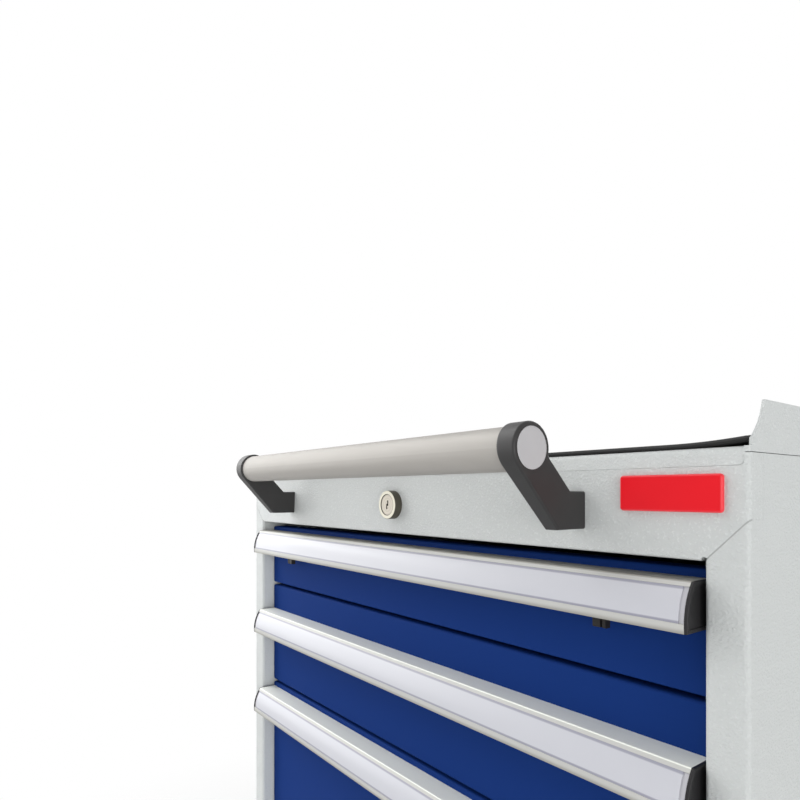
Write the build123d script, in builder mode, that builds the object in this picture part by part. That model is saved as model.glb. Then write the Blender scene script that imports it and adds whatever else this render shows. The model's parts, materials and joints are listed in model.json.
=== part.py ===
from build123d import *
import math
import os

# Mobile drawer cabinet on castors. Millimetres, +Z up, the drawers open towards -Y.
# The origin is on the floor, under the middle of the cabinet's bounding box.

# Folded sheet and general clearances
sheet = 1.5
bend = 1.5
seam = 0.4
fine_seam = 0.15
running_gap = 0.3
shaft_fit = 0.05
overrun = 10.0

# Body shell
body_width = 608.0
body_depth = 605.0
castor_height = 160.0
base_height = 36.0
opening_height = 703.0
fascia_height = 61.0
post_width = 23.0
post_return = 30.0
rail_return = 20.0
rail_wrap = 16.0
corner_relief = 2.2
base_return = 14.0

# Deck, rims and mat
deck_flange = 10.0
deck_flange_lean = 1.2
deck_ear = 2.5
deck_ear_round = 3.0
rim_height = 25.0
rim_wall = 1.5
rim_drop = 3.0
rim_corner_round = 1.2
rim_setback = 3.0
rim_sweep_start = 4.0
rim_sweep_run = 15.0
rim_sweep_radius = 36.0
mat_thickness = 3.0
mat_setback = 2.5
mat_side_gap = 0.5
mat_curl_run = 45.0
mat_curl_rise = 2.5
mat_curl_radius = 700.0

# Drawers, from the top down
upper_pitches = (75.0, 125.0, 200.0)
grip_drops = (4.8, 30.0, 4.8, 4.8)
drawer_top_gap = 6.0
drawer_bottom_gap = 3.5
front_gap = 3.2
front_side_gap = 1.7
front_recess = 14.0
front_depth = 18.0
front_round = 2.0
tray_wall = 1.2
tray_rear_gap = 27.0
tray_lift = 4.0
tray_top_drop = 8.0
tray_round = 3.0
tray_rear_notch = 14.0

# Grip profile with its label, end caps and clips
grip_end_gap = 0.3
grip_height = 27.5
grip_top_depth = 19.5
grip_bottom_depth = 27.3
grip_bulge = 2.9
grip_wall = 1.8
grip_front_wall = 2.6
grip_foot_height = 20.0
grip_foot_lip = 4.0
grip_upper_lip = 3.3
grip_lower_lip = 5.2
label_recess = 1.0
label_thickness = 0.6
label_end_gap = 3.4
grip_cap_thickness = 2.0
grip_cap_round = 0.8
grip_cap_border = 2.2
grip_cap_pocket = 0.7
clip_inset = 65.7
clip_body_width = 5.6
clip_tongue_width = 2.4
clip_slot = 1.5
clip_depth = 10.6
clip_back = 1.8
clip_reach = 9.8
clip_toe_depth = 5.0
clip_toe_height = 11.0
clip_round = 1.0

# Telescopic runners
runner_setback = 40.0
runner_rear_inset = 7.5
runner_height = 45.0
runner_depth = 12.5
runner_wall = 1.4
runner_lift = 8.0
runner_side_gap = 1.0
runner_lip_gap = 1.0
standoff_length = 25.0
standoff_height = 30.0
standoff_inset = 30.0

# Cylinder lock, its rod and the central lock bar
lock_drop = 35.0
lock_head_diameter = 25.6
lock_head_height = 7.5
lock_head_round = 0.7
lock_barrel_diameter = 22.0
lock_barrel_length = 26.0
lock_nut_diameter = 29.0
lock_nut_thickness = 4.0
lock_plug_diameter = 18.8
lock_plug_recess = 0.5
keyway_height = 8.0
keyway_width = 1.7
keyway_step = 1.4
keyway_depth = 9.0
lock_rod_diameter = 7.0
crank_radius = 7.0
crank_thickness = 5.0
crank_pin_diameter = 5.0
crank_bar_gap = 2.0
lock_bar_width = 26.0
lock_bar_thickness = 3.0
lock_bar_stand = 26.0
lock_bar_foot_gap = 20.0
lock_bar_head = 16.0
lock_slot_play = 0.5
lock_slot_length = 11.0
lock_turn = 90.0
hook_width = 20.0
hook_thickness = 4.0
hook_lip = 3.0
hook_clearance = 1.5
hook_locked_gap = 0.6
guide_width = 44.0
guide_height = 18.0
guide_wall = 3.0

# Push handle
handle_inset = 104.0
tube_diameter = 28.0
tube_wall = 2.0
tube_reach = 50.5
tube_rise = 2.4
bracket_thickness = 11.0
bracket_eye_wall = 1.9
bracket_foot_height = 24.0
bracket_foot_drop = 47.2
bracket_toe = 26.2
bracket_ledge = 14.0
bracket_notch_round = 3.0
bracket_round = 1.6
bracket_boss = 3.4
tube_seat = 8.0
handle_cap_diameter = 25.9
handle_cap_seat = 1.5
handle_cap_proud = 0.3
handle_cap_round = 0.6

# Badge
badge_width = 60.0
badge_height = 20.8
badge_thickness = 2.4
badge_corner = 2.0
badge_dome = 1.2
badge_inset = 42.4
badge_drop = 24.4

# Castors
wheel_crown_gap = 16.7
wheel_width = 32.0
wheel_tread_depth = 12.0
wheel_tread_round = 6.0
wheel_web = 14.0
wheel_hub_diameter = 36.0
wheel_hub_width = 38.0
axle_diameter = 12.0
axle_head_diameter = 20.0
axle_head_height = 6.0
castor_inset = 72.0
swivel_setback = 118.0
fixed_setback = 88.0
swivel_trail = 40.0
castor_plate_length = 105.0
castor_plate_width = 85.0
castor_plate_thickness = 3.0
castor_plate_corner = 8.0
swivel_race_diameter = 66.0
swivel_race_height = 11.0
swivel_race_round = 3.0
kingpin_diameter = 12.0
kingpin_length = 9.0
fork_gap = 41.0
fork_wall = 3.0
fork_crown_length = 58.0
fork_crown_thickness = 4.0
fork_eye_radius = 16.0
pedal_pivot_gap = 20.7
pedal_pivot_angle = 54.8
pedal_pin_diameter = 8.0
pedal_eye_radius = 7.0
pedal_side_gap = 1.0
pedal_length = 44.0
pedal_toe_radius = 3.0
pedal_tread_length = 22.0
pedal_tread_width = 54.0
pedal_tread_thickness = 5.0
pedal_shoe_length = 13.0
pedal_shoe_radius = 4.0

# Places worked out from the sizes above
half_width = body_width / 2
outer_bend = bend + sheet
handle_reach = tube_reach + tube_diameter / 2 + bracket_eye_wall
front_y = (handle_reach - body_depth) / 2
back_y = front_y + body_depth
base_z = castor_height
opening_z = base_z + base_height
rail_z = opening_z + opening_height
deck_z = rail_z + fascia_height
miter_z = rail_z + post_width
shell_top = deck_z - rim_drop - seam
flange_z = deck_z - deck_flange
rim_top = deck_z + rim_height
post_x = half_width - post_width
inner_x = half_width - sheet
inner_back_y = back_y - sheet
bar_back_y = inner_back_y - lock_bar_stand
bar_front_y = bar_back_y - lock_bar_thickness
handle_spacing = body_width - 2 * handle_inset
badge_x = half_width - badge_inset

# Drawer places, one value for each drawer from the top down: the last one fills what is left
last_pitch = opening_height - drawer_top_gap - sum(upper_pitches) + front_gap - drawer_bottom_gap
drawer_pitches = (*upper_pitches, last_pitch)
face_y = front_y + front_recess
front_width = 2 * (post_x - front_side_gap)
tray_front_y = face_y + sheet
tray_back_y = bar_front_y - tray_rear_gap
tray_depth = tray_back_y - tray_front_y
grip_length = front_width - 2 * grip_end_gap
clip_spacing = grip_length - 2 * clip_inset
front_tops = [rail_z - drawer_top_gap - sum(drawer_pitches[:i]) for i in range(len(drawer_pitches))]
front_bottoms = [top - pitch + front_gap for top, pitch in zip(front_tops, drawer_pitches)]
tray_bottoms = [bottom + tray_lift for bottom in front_bottoms]
tray_tops = [top - tray_top_drop for top in front_tops]
grip_tops = [top - drop for top, drop in zip(front_tops, grip_drops)]
runner_zs = [bottom + runner_lift + runner_height / 2 for bottom in tray_bottoms]

# Runner places
runner_front_y = front_y + runner_setback
runner_back_y = tray_back_y - runner_rear_inset
runner_length = runner_back_y - runner_front_y
runner_x = post_x - runner_side_gap
tray_x = runner_x - runner_depth
runner_step = runner_wall + running_gap

# Lock places: the crank turns evenly above and below the level of the rod
lock_z = deck_z - lock_drop
crank_rest = math.radians(lock_turn / 2)
pin_x = crank_radius * math.cos(crank_rest)
pin_rise = crank_radius * math.sin(crank_rest)
lock_travel = 2 * pin_rise
bar_x = (pin_x + crank_radius) / 2
bar_bottom = opening_z + lock_bar_foot_gap
bar_top = lock_z + lock_bar_head
guide_front_y = bar_front_y - running_gap - guide_wall
hook_drop = lock_travel + hook_locked_gap - hook_clearance
hook_zs = [top - tray_rear_notch + hook_clearance for top in tray_tops]

# Planes
fascia_plane = Plane(origin=(0, front_y, 0), x_dir=(1, 0, 0), z_dir=(0, -1, 0))


def outward(y, z, x=0):
    """A section plane across the cabinet: its x points out of the front, its y points up."""
    return Plane(origin=(x, y, z), x_dir=(0, -1, 0), z_dir=(-1, 0, 0))


def folded(plane, points, side):
    """The section of a folded sheet whose outer face follows the points."""
    with BuildSketch(plane) as section:
        with BuildLine():
            FilletPolyline(*points, radius=outer_bend)
            offset(amount=sheet, side=side)
        make_face()
    return section.sketch


def save(piece, name):
    """Label a finished piece and write it under its own name."""
    piece.part.label = name
    export_step(piece.part, f"parts/{name}.step")


os.makedirs("parts", exist_ok=True)

# Side panels, each folded into its front post
with BuildPart() as right_side:
    post_fold = ((half_width, back_y), (half_width, front_y), (post_x, front_y))
    post_fold += ((post_x, front_y + post_return),)
    extrude(folded(Plane.XY.offset(base_z), post_fold, Side.RIGHT), amount=shell_top - base_z)
    with BuildSketch(fascia_plane.offset(overrun)):
        with BuildLine():
            Polyline(
                (half_width + overrun, miter_z - fine_seam),
                (half_width, miter_z - fine_seam),
                (post_x, rail_z - fine_seam),
                (post_x - overrun, rail_z - fine_seam),
                (post_x - overrun, deck_z),
                (half_width + overrun, deck_z),
                close=True,
            )
        make_face()
    extrude(amount=-(overrun + rail_wrap + fine_seam), mode=Mode.SUBTRACT)
    with BuildSketch(fascia_plane.offset(-sheet - fine_seam)):
        with Locations((post_x - overrun, rail_z - fine_seam)):
            Rectangle(overrun + post_width - sheet - seam, deck_z - rail_z, align=(Align.MIN, Align.MIN))
    extrude(amount=-(post_return + overrun), mode=Mode.SUBTRACT)
save(right_side, "right_side_panel")

with BuildPart() as left_side:
    mirror(right_side.part, about=Plane.YZ)
save(left_side, "left_side_panel")

# Top rail with mitred ends, wrapped a little round both corners
with BuildPart() as top_rail:
    wrap_y = front_y + rail_wrap
    rail_fold = ((half_width, wrap_y), (half_width, front_y), (-half_width, front_y), (-half_width, wrap_y))
    extrude(folded(Plane.XY.offset(rail_z), rail_fold, Side.RIGHT), amount=shell_top - rail_z)
    with BuildSketch(fascia_plane.offset(overrun)):
        with BuildLine():
            Polyline(
                (half_width + overrun, miter_z),
                (half_width, miter_z),
                (post_x, rail_z),
                (half_width + overrun, rail_z),
                close=True,
            )
        make_face()
        mirror(about=Plane.YZ)
        for side in (-1, 1):
            with Locations((side * post_x, rail_z)):
                Circle(corner_relief)
        with Locations((0, flange_z)):
            gap_width = 2 * (half_width - deck_ear)
            flange_gap = Rectangle(gap_width, deck_flange, align=(Align.CENTER, Align.MIN))
        fillet(flange_gap.vertices().group_by(Axis.Y)[0], radius=deck_ear_round)
        with Locations((0, deck_z - lock_drop)):
            Circle(lock_barrel_diameter / 2 + shaft_fit)
    extrude(amount=-(overrun + rail_wrap + overrun), mode=Mode.SUBTRACT)
    with BuildSketch(Plane.XY.offset(rail_z)):
        with Locations((0, front_y)):
            Rectangle(2 * (post_x - corner_relief), rail_return, align=(Align.CENTER, Align.MIN))
    extrude(amount=sheet)
    lower_edge = top_rail.edges().filter_by(Axis.X).group_by(Axis.Z)[0].group_by(Axis.Y)[0]
    fillet(lower_edge, radius=bend)
save(top_rail, "top_rail")

# Base pan with its front rail between the posts
with BuildPart() as base_pan:
    base_fold = ((inner_back_y, base_z), (front_y, base_z), (front_y, opening_z))
    base_fold += ((front_y + base_return, opening_z),)
    extrude(folded(Plane.YZ, base_fold, Side.RIGHT), amount=post_x - seam, both=True)
    with BuildSketch(Plane.XY.offset(base_z)):
        with Locations((0, front_y + post_return + seam)):
            Rectangle(2 * inner_x, body_depth - post_return - seam - sheet, align=(Align.CENTER, Align.MIN))
    extrude(amount=sheet)
save(base_pan, "base_pan")

# Back panel with two guides for the lock bar
with BuildPart() as back_panel:
    with BuildSketch(Plane.XY.offset(base_z + sheet)):
        with Locations((0, back_y)):
            Rectangle(2 * inner_x, sheet, align=(Align.CENTER, Align.MAX))
    extrude(amount=shell_top - base_z - sheet)
    for guide_z in ((hook_zs[1] + hook_zs[2]) / 2, (hook_zs[-1] + bar_bottom) / 2):
        with BuildSketch(Plane.XY.offset(guide_z)):
            with Locations((bar_x, inner_back_y)):
                Rectangle(guide_width, inner_back_y - guide_front_y, align=(Align.CENTER, Align.MAX))
            with Locations((bar_x, (bar_back_y + bar_front_y) / 2)):
                Rectangle(
                    lock_bar_width + 2 * running_gap,
                    lock_bar_thickness + 2 * running_gap,
                    mode=Mode.SUBTRACT,
                )
        extrude(amount=guide_height)
save(back_panel, "back_panel")

# Top deck: a plate with a leaning front flange and three rims
with BuildPart() as top_deck:
    with BuildSketch(Plane.YZ):
        with BuildLine():
            FilletPolyline(
                (inner_back_y, deck_z),
                (front_y + deck_flange_lean, deck_z),
                (front_y, flange_z + fine_seam),
                radius=outer_bend,
            )
            offset(amount=sheet, side=Side.LEFT)
        make_face()
    extrude(amount=half_width - deck_ear - fine_seam, both=True)
    fillet(top_deck.edges().filter_by(Plane.YZ).sort_by(Axis.Z)[0:2], radius=deck_ear_round)
    with BuildSketch(Plane.YZ.offset(half_width)):
        with BuildLine():
            sweep_foot = (front_y + rim_setback, deck_z + rim_sweep_start)
            sweep_end = (front_y + rim_setback + rim_sweep_run, rim_top)
            sweep = RadiusArc(sweep_foot, sweep_end, -rim_sweep_radius)
            Polyline(
                sweep @ 1,
                (back_y, rim_top),
                (back_y, deck_z - rim_drop),
                (front_y, deck_z - rim_drop),
                (front_y, deck_z),
                (front_y + rim_setback, deck_z),
                sweep @ 0,
            )
        make_face()
    extrude(amount=-(deck_ear + fine_seam))
    corner_edges = top_deck.edges().filter_by(Axis.Z).group_by(Axis.X)[-1].group_by(Axis.Y)[0]
    fillet(corner_edges, radius=rim_corner_round)
    with BuildSketch(Plane.XY.offset(deck_z)):
        with Locations((half_width - rim_wall, front_y)):
            Rectangle(overrun, body_depth - rim_wall, align=(Align.MAX, Align.MIN))
    extrude(amount=rim_height + overrun, mode=Mode.SUBTRACT)
    mirror(about=Plane.YZ)
    with BuildSketch(Plane.XY.offset(deck_z - rim_drop)):
        with Locations((0, back_y)):
            Rectangle(body_width, rim_wall, align=(Align.CENTER, Align.MAX))
    extrude(amount=rim_height + rim_drop)
save(top_deck, "top_deck")

# Rubber mat, its side edges curling up against the rims
with BuildPart() as rubber_mat:
    mat_x = half_width - rim_wall - mat_side_gap
    mat_back_y = back_y - rim_wall - mat_side_gap
    with BuildSketch(fascia_plane.offset(front_y - mat_back_y)):
        with BuildLine():
            FilletPolyline(
                (-mat_x, deck_z + mat_curl_rise),
                (mat_curl_run - mat_x, deck_z),
                (mat_x - mat_curl_run, deck_z),
                (mat_x, deck_z + mat_curl_rise),
                radius=mat_curl_radius,
            )
            offset(amount=mat_thickness, side=Side.LEFT)
        make_face()
    extrude(amount=mat_back_y - front_y - mat_setback)
save(rubber_mat, "rubber_mat")

# Lock case: head, barrel and ring nut, bored for the plug
with BuildPart() as lock_case:
    with BuildSketch(fascia_plane):
        with Locations((0, lock_z)):
            Circle(lock_head_diameter / 2)
    extrude(amount=lock_head_height)
    fillet(lock_case.faces().sort_by(Axis.Y)[0].edges(), radius=lock_head_round)
    with BuildSketch(fascia_plane):
        with Locations((0, lock_z)):
            Circle(lock_barrel_diameter / 2)
    extrude(amount=-lock_barrel_length)
    with BuildSketch(fascia_plane.offset(-sheet)):
        with Locations((0, lock_z)):
            Circle(lock_nut_diameter / 2)
    extrude(amount=-lock_nut_thickness)
    with BuildSketch(fascia_plane.offset(lock_head_height)):
        with Locations((0, lock_z)):
            Circle(lock_plug_diameter / 2 + shaft_fit)
    extrude(amount=-(lock_head_height + lock_barrel_length), mode=Mode.SUBTRACT)
save(lock_case, "lock_case")

# Lock plug with its stepped keyway, the long rod to the rear and the crank
with BuildPart() as lock_plug:
    crank_back = bar_front_y - crank_bar_gap - front_y
    crank_front = crank_back - crank_thickness
    with BuildSketch(fascia_plane.offset(lock_head_height - lock_plug_recess)):
        with Locations((0, lock_z)):
            Circle(lock_plug_diameter / 2)
    extrude(amount=-(lock_head_height - lock_plug_recess + lock_barrel_length))
    with BuildSketch(fascia_plane.offset(lock_head_height)):
        for half in (-1, 1):
            with Locations((half * keyway_step / 2, lock_z + half * keyway_height / 4)):
                Rectangle(keyway_width, keyway_height / 2)
        with Locations((0, lock_z)):
            Rectangle(keyway_step + keyway_width, keyway_width)
    extrude(amount=-(lock_plug_recess + keyway_depth), mode=Mode.SUBTRACT)
    with BuildSketch(fascia_plane.offset(-lock_barrel_length)):
        with Locations((0, lock_z)):
            Circle(lock_rod_diameter / 2)
    extrude(amount=-(crank_back - lock_barrel_length))
    with BuildSketch(fascia_plane.offset(-crank_front)):
        with BuildLine():
            CenterArc((0, lock_z), lock_rod_diameter, 0, 360)
            CenterArc((pin_x, lock_z + pin_rise), crank_pin_diameter, 0, 360)
        make_hull()
    extrude(amount=-crank_thickness)
    with BuildSketch(fascia_plane.offset(-crank_back)):
        with Locations((pin_x, lock_z + pin_rise)):
            Circle(crank_pin_diameter / 2)
    extrude(amount=-(crank_bar_gap + lock_bar_thickness + crank_bar_gap))
save(lock_plug, "lock_plug")

# Lock bar: a flat bar in the guides, slotted for the crank pin, with a hook over each tray's rear wall
with BuildPart() as lock_bar:
    with BuildSketch(Plane.XY.offset(bar_bottom)):
        with Locations((bar_x, bar_back_y)):
            Rectangle(lock_bar_width, lock_bar_thickness, align=(Align.CENTER, Align.MAX))
    extrude(amount=bar_top - bar_bottom)
    with BuildSketch(fascia_plane.offset(front_y - bar_back_y - overrun)):
        with Locations((bar_x, lock_z + pin_rise)):
            SlotOverall(lock_slot_length, crank_pin_diameter + 2 * lock_slot_play)
    extrude(amount=overrun + lock_bar_thickness + overrun, mode=Mode.SUBTRACT)
    lip_back_y = tray_back_y - tray_wall - hook_clearance
    for hook_z in hook_zs:
        with BuildSketch(outward(bar_front_y, hook_z, bar_x)):
            with BuildLine():
                Polyline(
                    (0, hook_drop),
                    (bar_front_y - lip_back_y, hook_drop),
                    (bar_front_y - lip_back_y, 0),
                    (bar_front_y - lip_back_y + hook_lip, 0),
                    (bar_front_y - lip_back_y + hook_lip, hook_drop + hook_thickness),
                    (0, hook_drop + hook_thickness),
                    close=True,
                )
            make_face()
        extrude(amount=hook_width / 2, both=True)
save(lock_bar, "lock_bar")

# Push handle: two inclined brackets, thicker towards their eyes, the tube between them and a cap in
# each outer face
eye_radius = tube_diameter / 2 + bracket_eye_wall
eye_centre = (tube_reach, tube_rise)
foot_top = bracket_foot_height - bracket_foot_drop
eye_plane = outward(front_y, deck_z, handle_spacing / 2)
with BuildPart() as handle_brackets:
    with BuildSketch(eye_plane.offset(-bracket_thickness / 2)) as arm:
        with BuildLine():
            Line((bracket_toe, -bracket_foot_drop), (bracket_ledge, foot_top))
            CenterArc(eye_centre, eye_radius, 0, 360)
        make_hull()
        with BuildLine():
            Polyline(
                (bracket_ledge, foot_top),
                (bracket_ledge + handle_reach, foot_top + handle_reach),
                (0, foot_top + handle_reach),
                (0, foot_top),
                close=True,
            )
        make_face(mode=Mode.SUBTRACT)
        with Locations(eye_centre):
            Circle(eye_radius)
        with BuildLine():
            Polyline(
                (0, -bracket_foot_drop),
                (bracket_toe, -bracket_foot_drop),
                (bracket_ledge, foot_top),
                (0, foot_top),
                close=True,
            )
        make_face()
        notch = arm.vertices().sort_by_distance((bracket_ledge, foot_top))[0]
        neck = arm.vertices().sort_by_distance(eye_centre)[0:2].sort_by(Axis.X)[0]
        fillet((notch, neck), radius=bracket_notch_round)
    extrude(amount=bracket_thickness + 2 * bracket_boss)
    inner_side = Plane(
        origin=((handle_spacing - bracket_thickness) / 2, front_y, deck_z - bracket_foot_drop),
        x_dir=(0, 1, 0),
        z_dir=(-bracket_foot_drop - tube_rise, 0, -bracket_boss),
    )
    split(bisect_by=inner_side, keep=Keep.BOTTOM)
    across = handle_brackets.faces().sort_by(Axis.X)
    side_edges = ShapeList((across[0], across[-1])).edges()
    free_edges = side_edges.filter_by_position(Axis.Y, front_y - handle_reach, front_y - seam)
    fillet(free_edges, radius=bracket_round)
    with BuildSketch(eye_plane.offset(bracket_thickness / 2 - tube_seat)):
        with Locations(eye_centre):
            Circle(tube_diameter / 2 + shaft_fit)
    extrude(amount=tube_seat + 2 * bracket_boss, mode=Mode.SUBTRACT)
    with BuildSketch(eye_plane.offset(-bracket_thickness / 2)):
        with Locations(eye_centre):
            Circle(handle_cap_diameter / 2 + shaft_fit)
    extrude(amount=handle_cap_seat, mode=Mode.SUBTRACT)
    mirror(about=Plane.YZ)
save(handle_brackets, "handle_brackets")

with BuildPart() as handle_tube:
    with BuildSketch(outward(front_y, deck_z)):
        with Locations(eye_centre):
            Circle(tube_diameter / 2)
            Circle(tube_diameter / 2 - tube_wall, mode=Mode.SUBTRACT)
    extrude(amount=(handle_spacing - bracket_thickness) / 2 + tube_seat, both=True)
save(handle_tube, "handle_tube")

with BuildPart() as handle_end_caps:
    with BuildSketch(eye_plane.offset(handle_cap_seat - bracket_thickness / 2)):
        with Locations(eye_centre):
            Circle(handle_cap_diameter / 2)
    extrude(amount=-(handle_cap_seat + handle_cap_proud))
    fillet(handle_end_caps.faces().sort_by(Axis.X)[-1].edges(), radius=handle_cap_round)
    mirror(about=Plane.YZ)
save(handle_end_caps, "handle_end_caps")

# Bare domed badge on the fascia
with BuildPart() as badge:
    with BuildSketch(fascia_plane):
        with Locations((badge_x, deck_z - badge_drop)):
            RectangleRounded(badge_width, badge_height, badge_corner)
    extrude(amount=badge_thickness)
    fillet(badge.faces().sort_by(Axis.Y)[0].edges(), radius=badge_dome)
save(badge, "badge")


def channel(piece_z, inner_edge, outer_edge, height, open_inward):
    """A runner member's C section, right-hand side, open towards the drawer or away from it."""
    with BuildSketch(fascia_plane.offset(front_y - runner_back_y)) as section:
        with Locations((outer_edge, piece_z)):
            Rectangle(outer_edge - inner_edge, height, align=(Align.MAX, Align.CENTER))
        pocket_edge = outer_edge - runner_wall if open_inward else outer_edge
        with Locations((pocket_edge, piece_z)):
            Rectangle(
                outer_edge - inner_edge - runner_wall,
                height - 2 * runner_wall,
                align=(Align.MAX, Align.CENTER),
                mode=Mode.SUBTRACT,
            )
    return section.sketch


# Cabinet members of the runners, each standing off its side panel on two feet
with BuildPart() as cabinet_slides:
    for runner_z in runner_zs:
        lip_edge = tray_x + runner_lip_gap
        extrude(channel(runner_z, lip_edge, runner_x, runner_height, True), amount=runner_length)
        foot_fronts = (runner_front_y + standoff_inset, runner_back_y - standoff_inset - standoff_length)
        with BuildSketch(Plane.XY.offset(runner_z - standoff_height / 2)):
            for foot_y in foot_fronts:
                with Locations((runner_x, foot_y)):
                    Rectangle(inner_x - runner_x, standoff_length, align=(Align.MIN, Align.MIN))
        extrude(amount=standoff_height)
    mirror(about=Plane.YZ)
save(cabinet_slides, "cabinet_slides")

# Grip section: x runs out of the drawer front, y up from the grip's top; its front is one arc
grip_run = grip_bottom_depth - grip_top_depth
grip_chord = math.hypot(grip_run, grip_height)
grip_radius = grip_chord**2 / (8 * grip_bulge) + grip_bulge / 2
grip_back_off = (grip_radius - grip_bulge) / grip_chord
grip_centre = (
    (grip_top_depth + grip_bottom_depth) / 2 - grip_height * grip_back_off,
    -grip_height / 2 - grip_run * grip_back_off,
)
grip_inner_radius = grip_radius - grip_front_wall
grip_top_angle = math.asin(-grip_centre[1] / grip_radius)
grip_bottom_angle = math.asin((-grip_height - grip_centre[1]) / grip_radius)
label_top_angle = grip_top_angle - grip_upper_lip / grip_radius
label_bottom_angle = grip_bottom_angle + grip_lower_lip / grip_radius


def grip_arc(radius, start, end):
    """An arc about the grip front's centre, from one angle to another in radians."""
    return CenterArc(grip_centre, radius, math.degrees(start), math.degrees(end - start))


def grip_outline(plane, border=0):
    """The outline of the grip, or what lies inside its border."""
    with BuildSketch(plane) as outline:
        with BuildLine():
            front = grip_arc(grip_radius, grip_top_angle, grip_bottom_angle)
            Polyline(front @ 1, (0, -grip_height), (0, 0), front @ 0)
        make_face()
        if border:
            offset(amount=-border, mode=Mode.REPLACE)
    return outline.sketch


def finger_space(plane):
    """The hollow behind the grip's front, open below."""
    inner_top = math.asin((-grip_wall - grip_centre[1]) / grip_inner_radius)
    inner_bottom = math.asin((grip_wall - grip_height - grip_centre[1]) / grip_inner_radius)
    with BuildSketch(plane) as space:
        with BuildLine():
            front = grip_arc(grip_inner_radius, inner_top, inner_bottom)
            lip_x = (front @ 1).X - grip_foot_lip
            Polyline(
                front @ 1,
                (lip_x, grip_wall - grip_height),
                (lip_x, -grip_height - overrun),
                (-overrun, -grip_height - overrun),
                (-overrun, -grip_foot_height),
                (grip_wall, -grip_foot_height),
                (grip_wall, -grip_wall),
                front @ 0,
            )
        make_face()
    return space.sketch


def label_band(plane, inner, outer):
    """A band along the grip's front, between its two lips."""
    with BuildSketch(plane) as band:
        with BuildLine():
            low = grip_arc(inner, label_top_angle, label_bottom_angle)
            high = grip_arc(outer, label_top_angle, label_bottom_angle)
            Line(low @ 0, high @ 0)
            Line(low @ 1, high @ 1)
        make_face()
    return band.sketch


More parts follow.
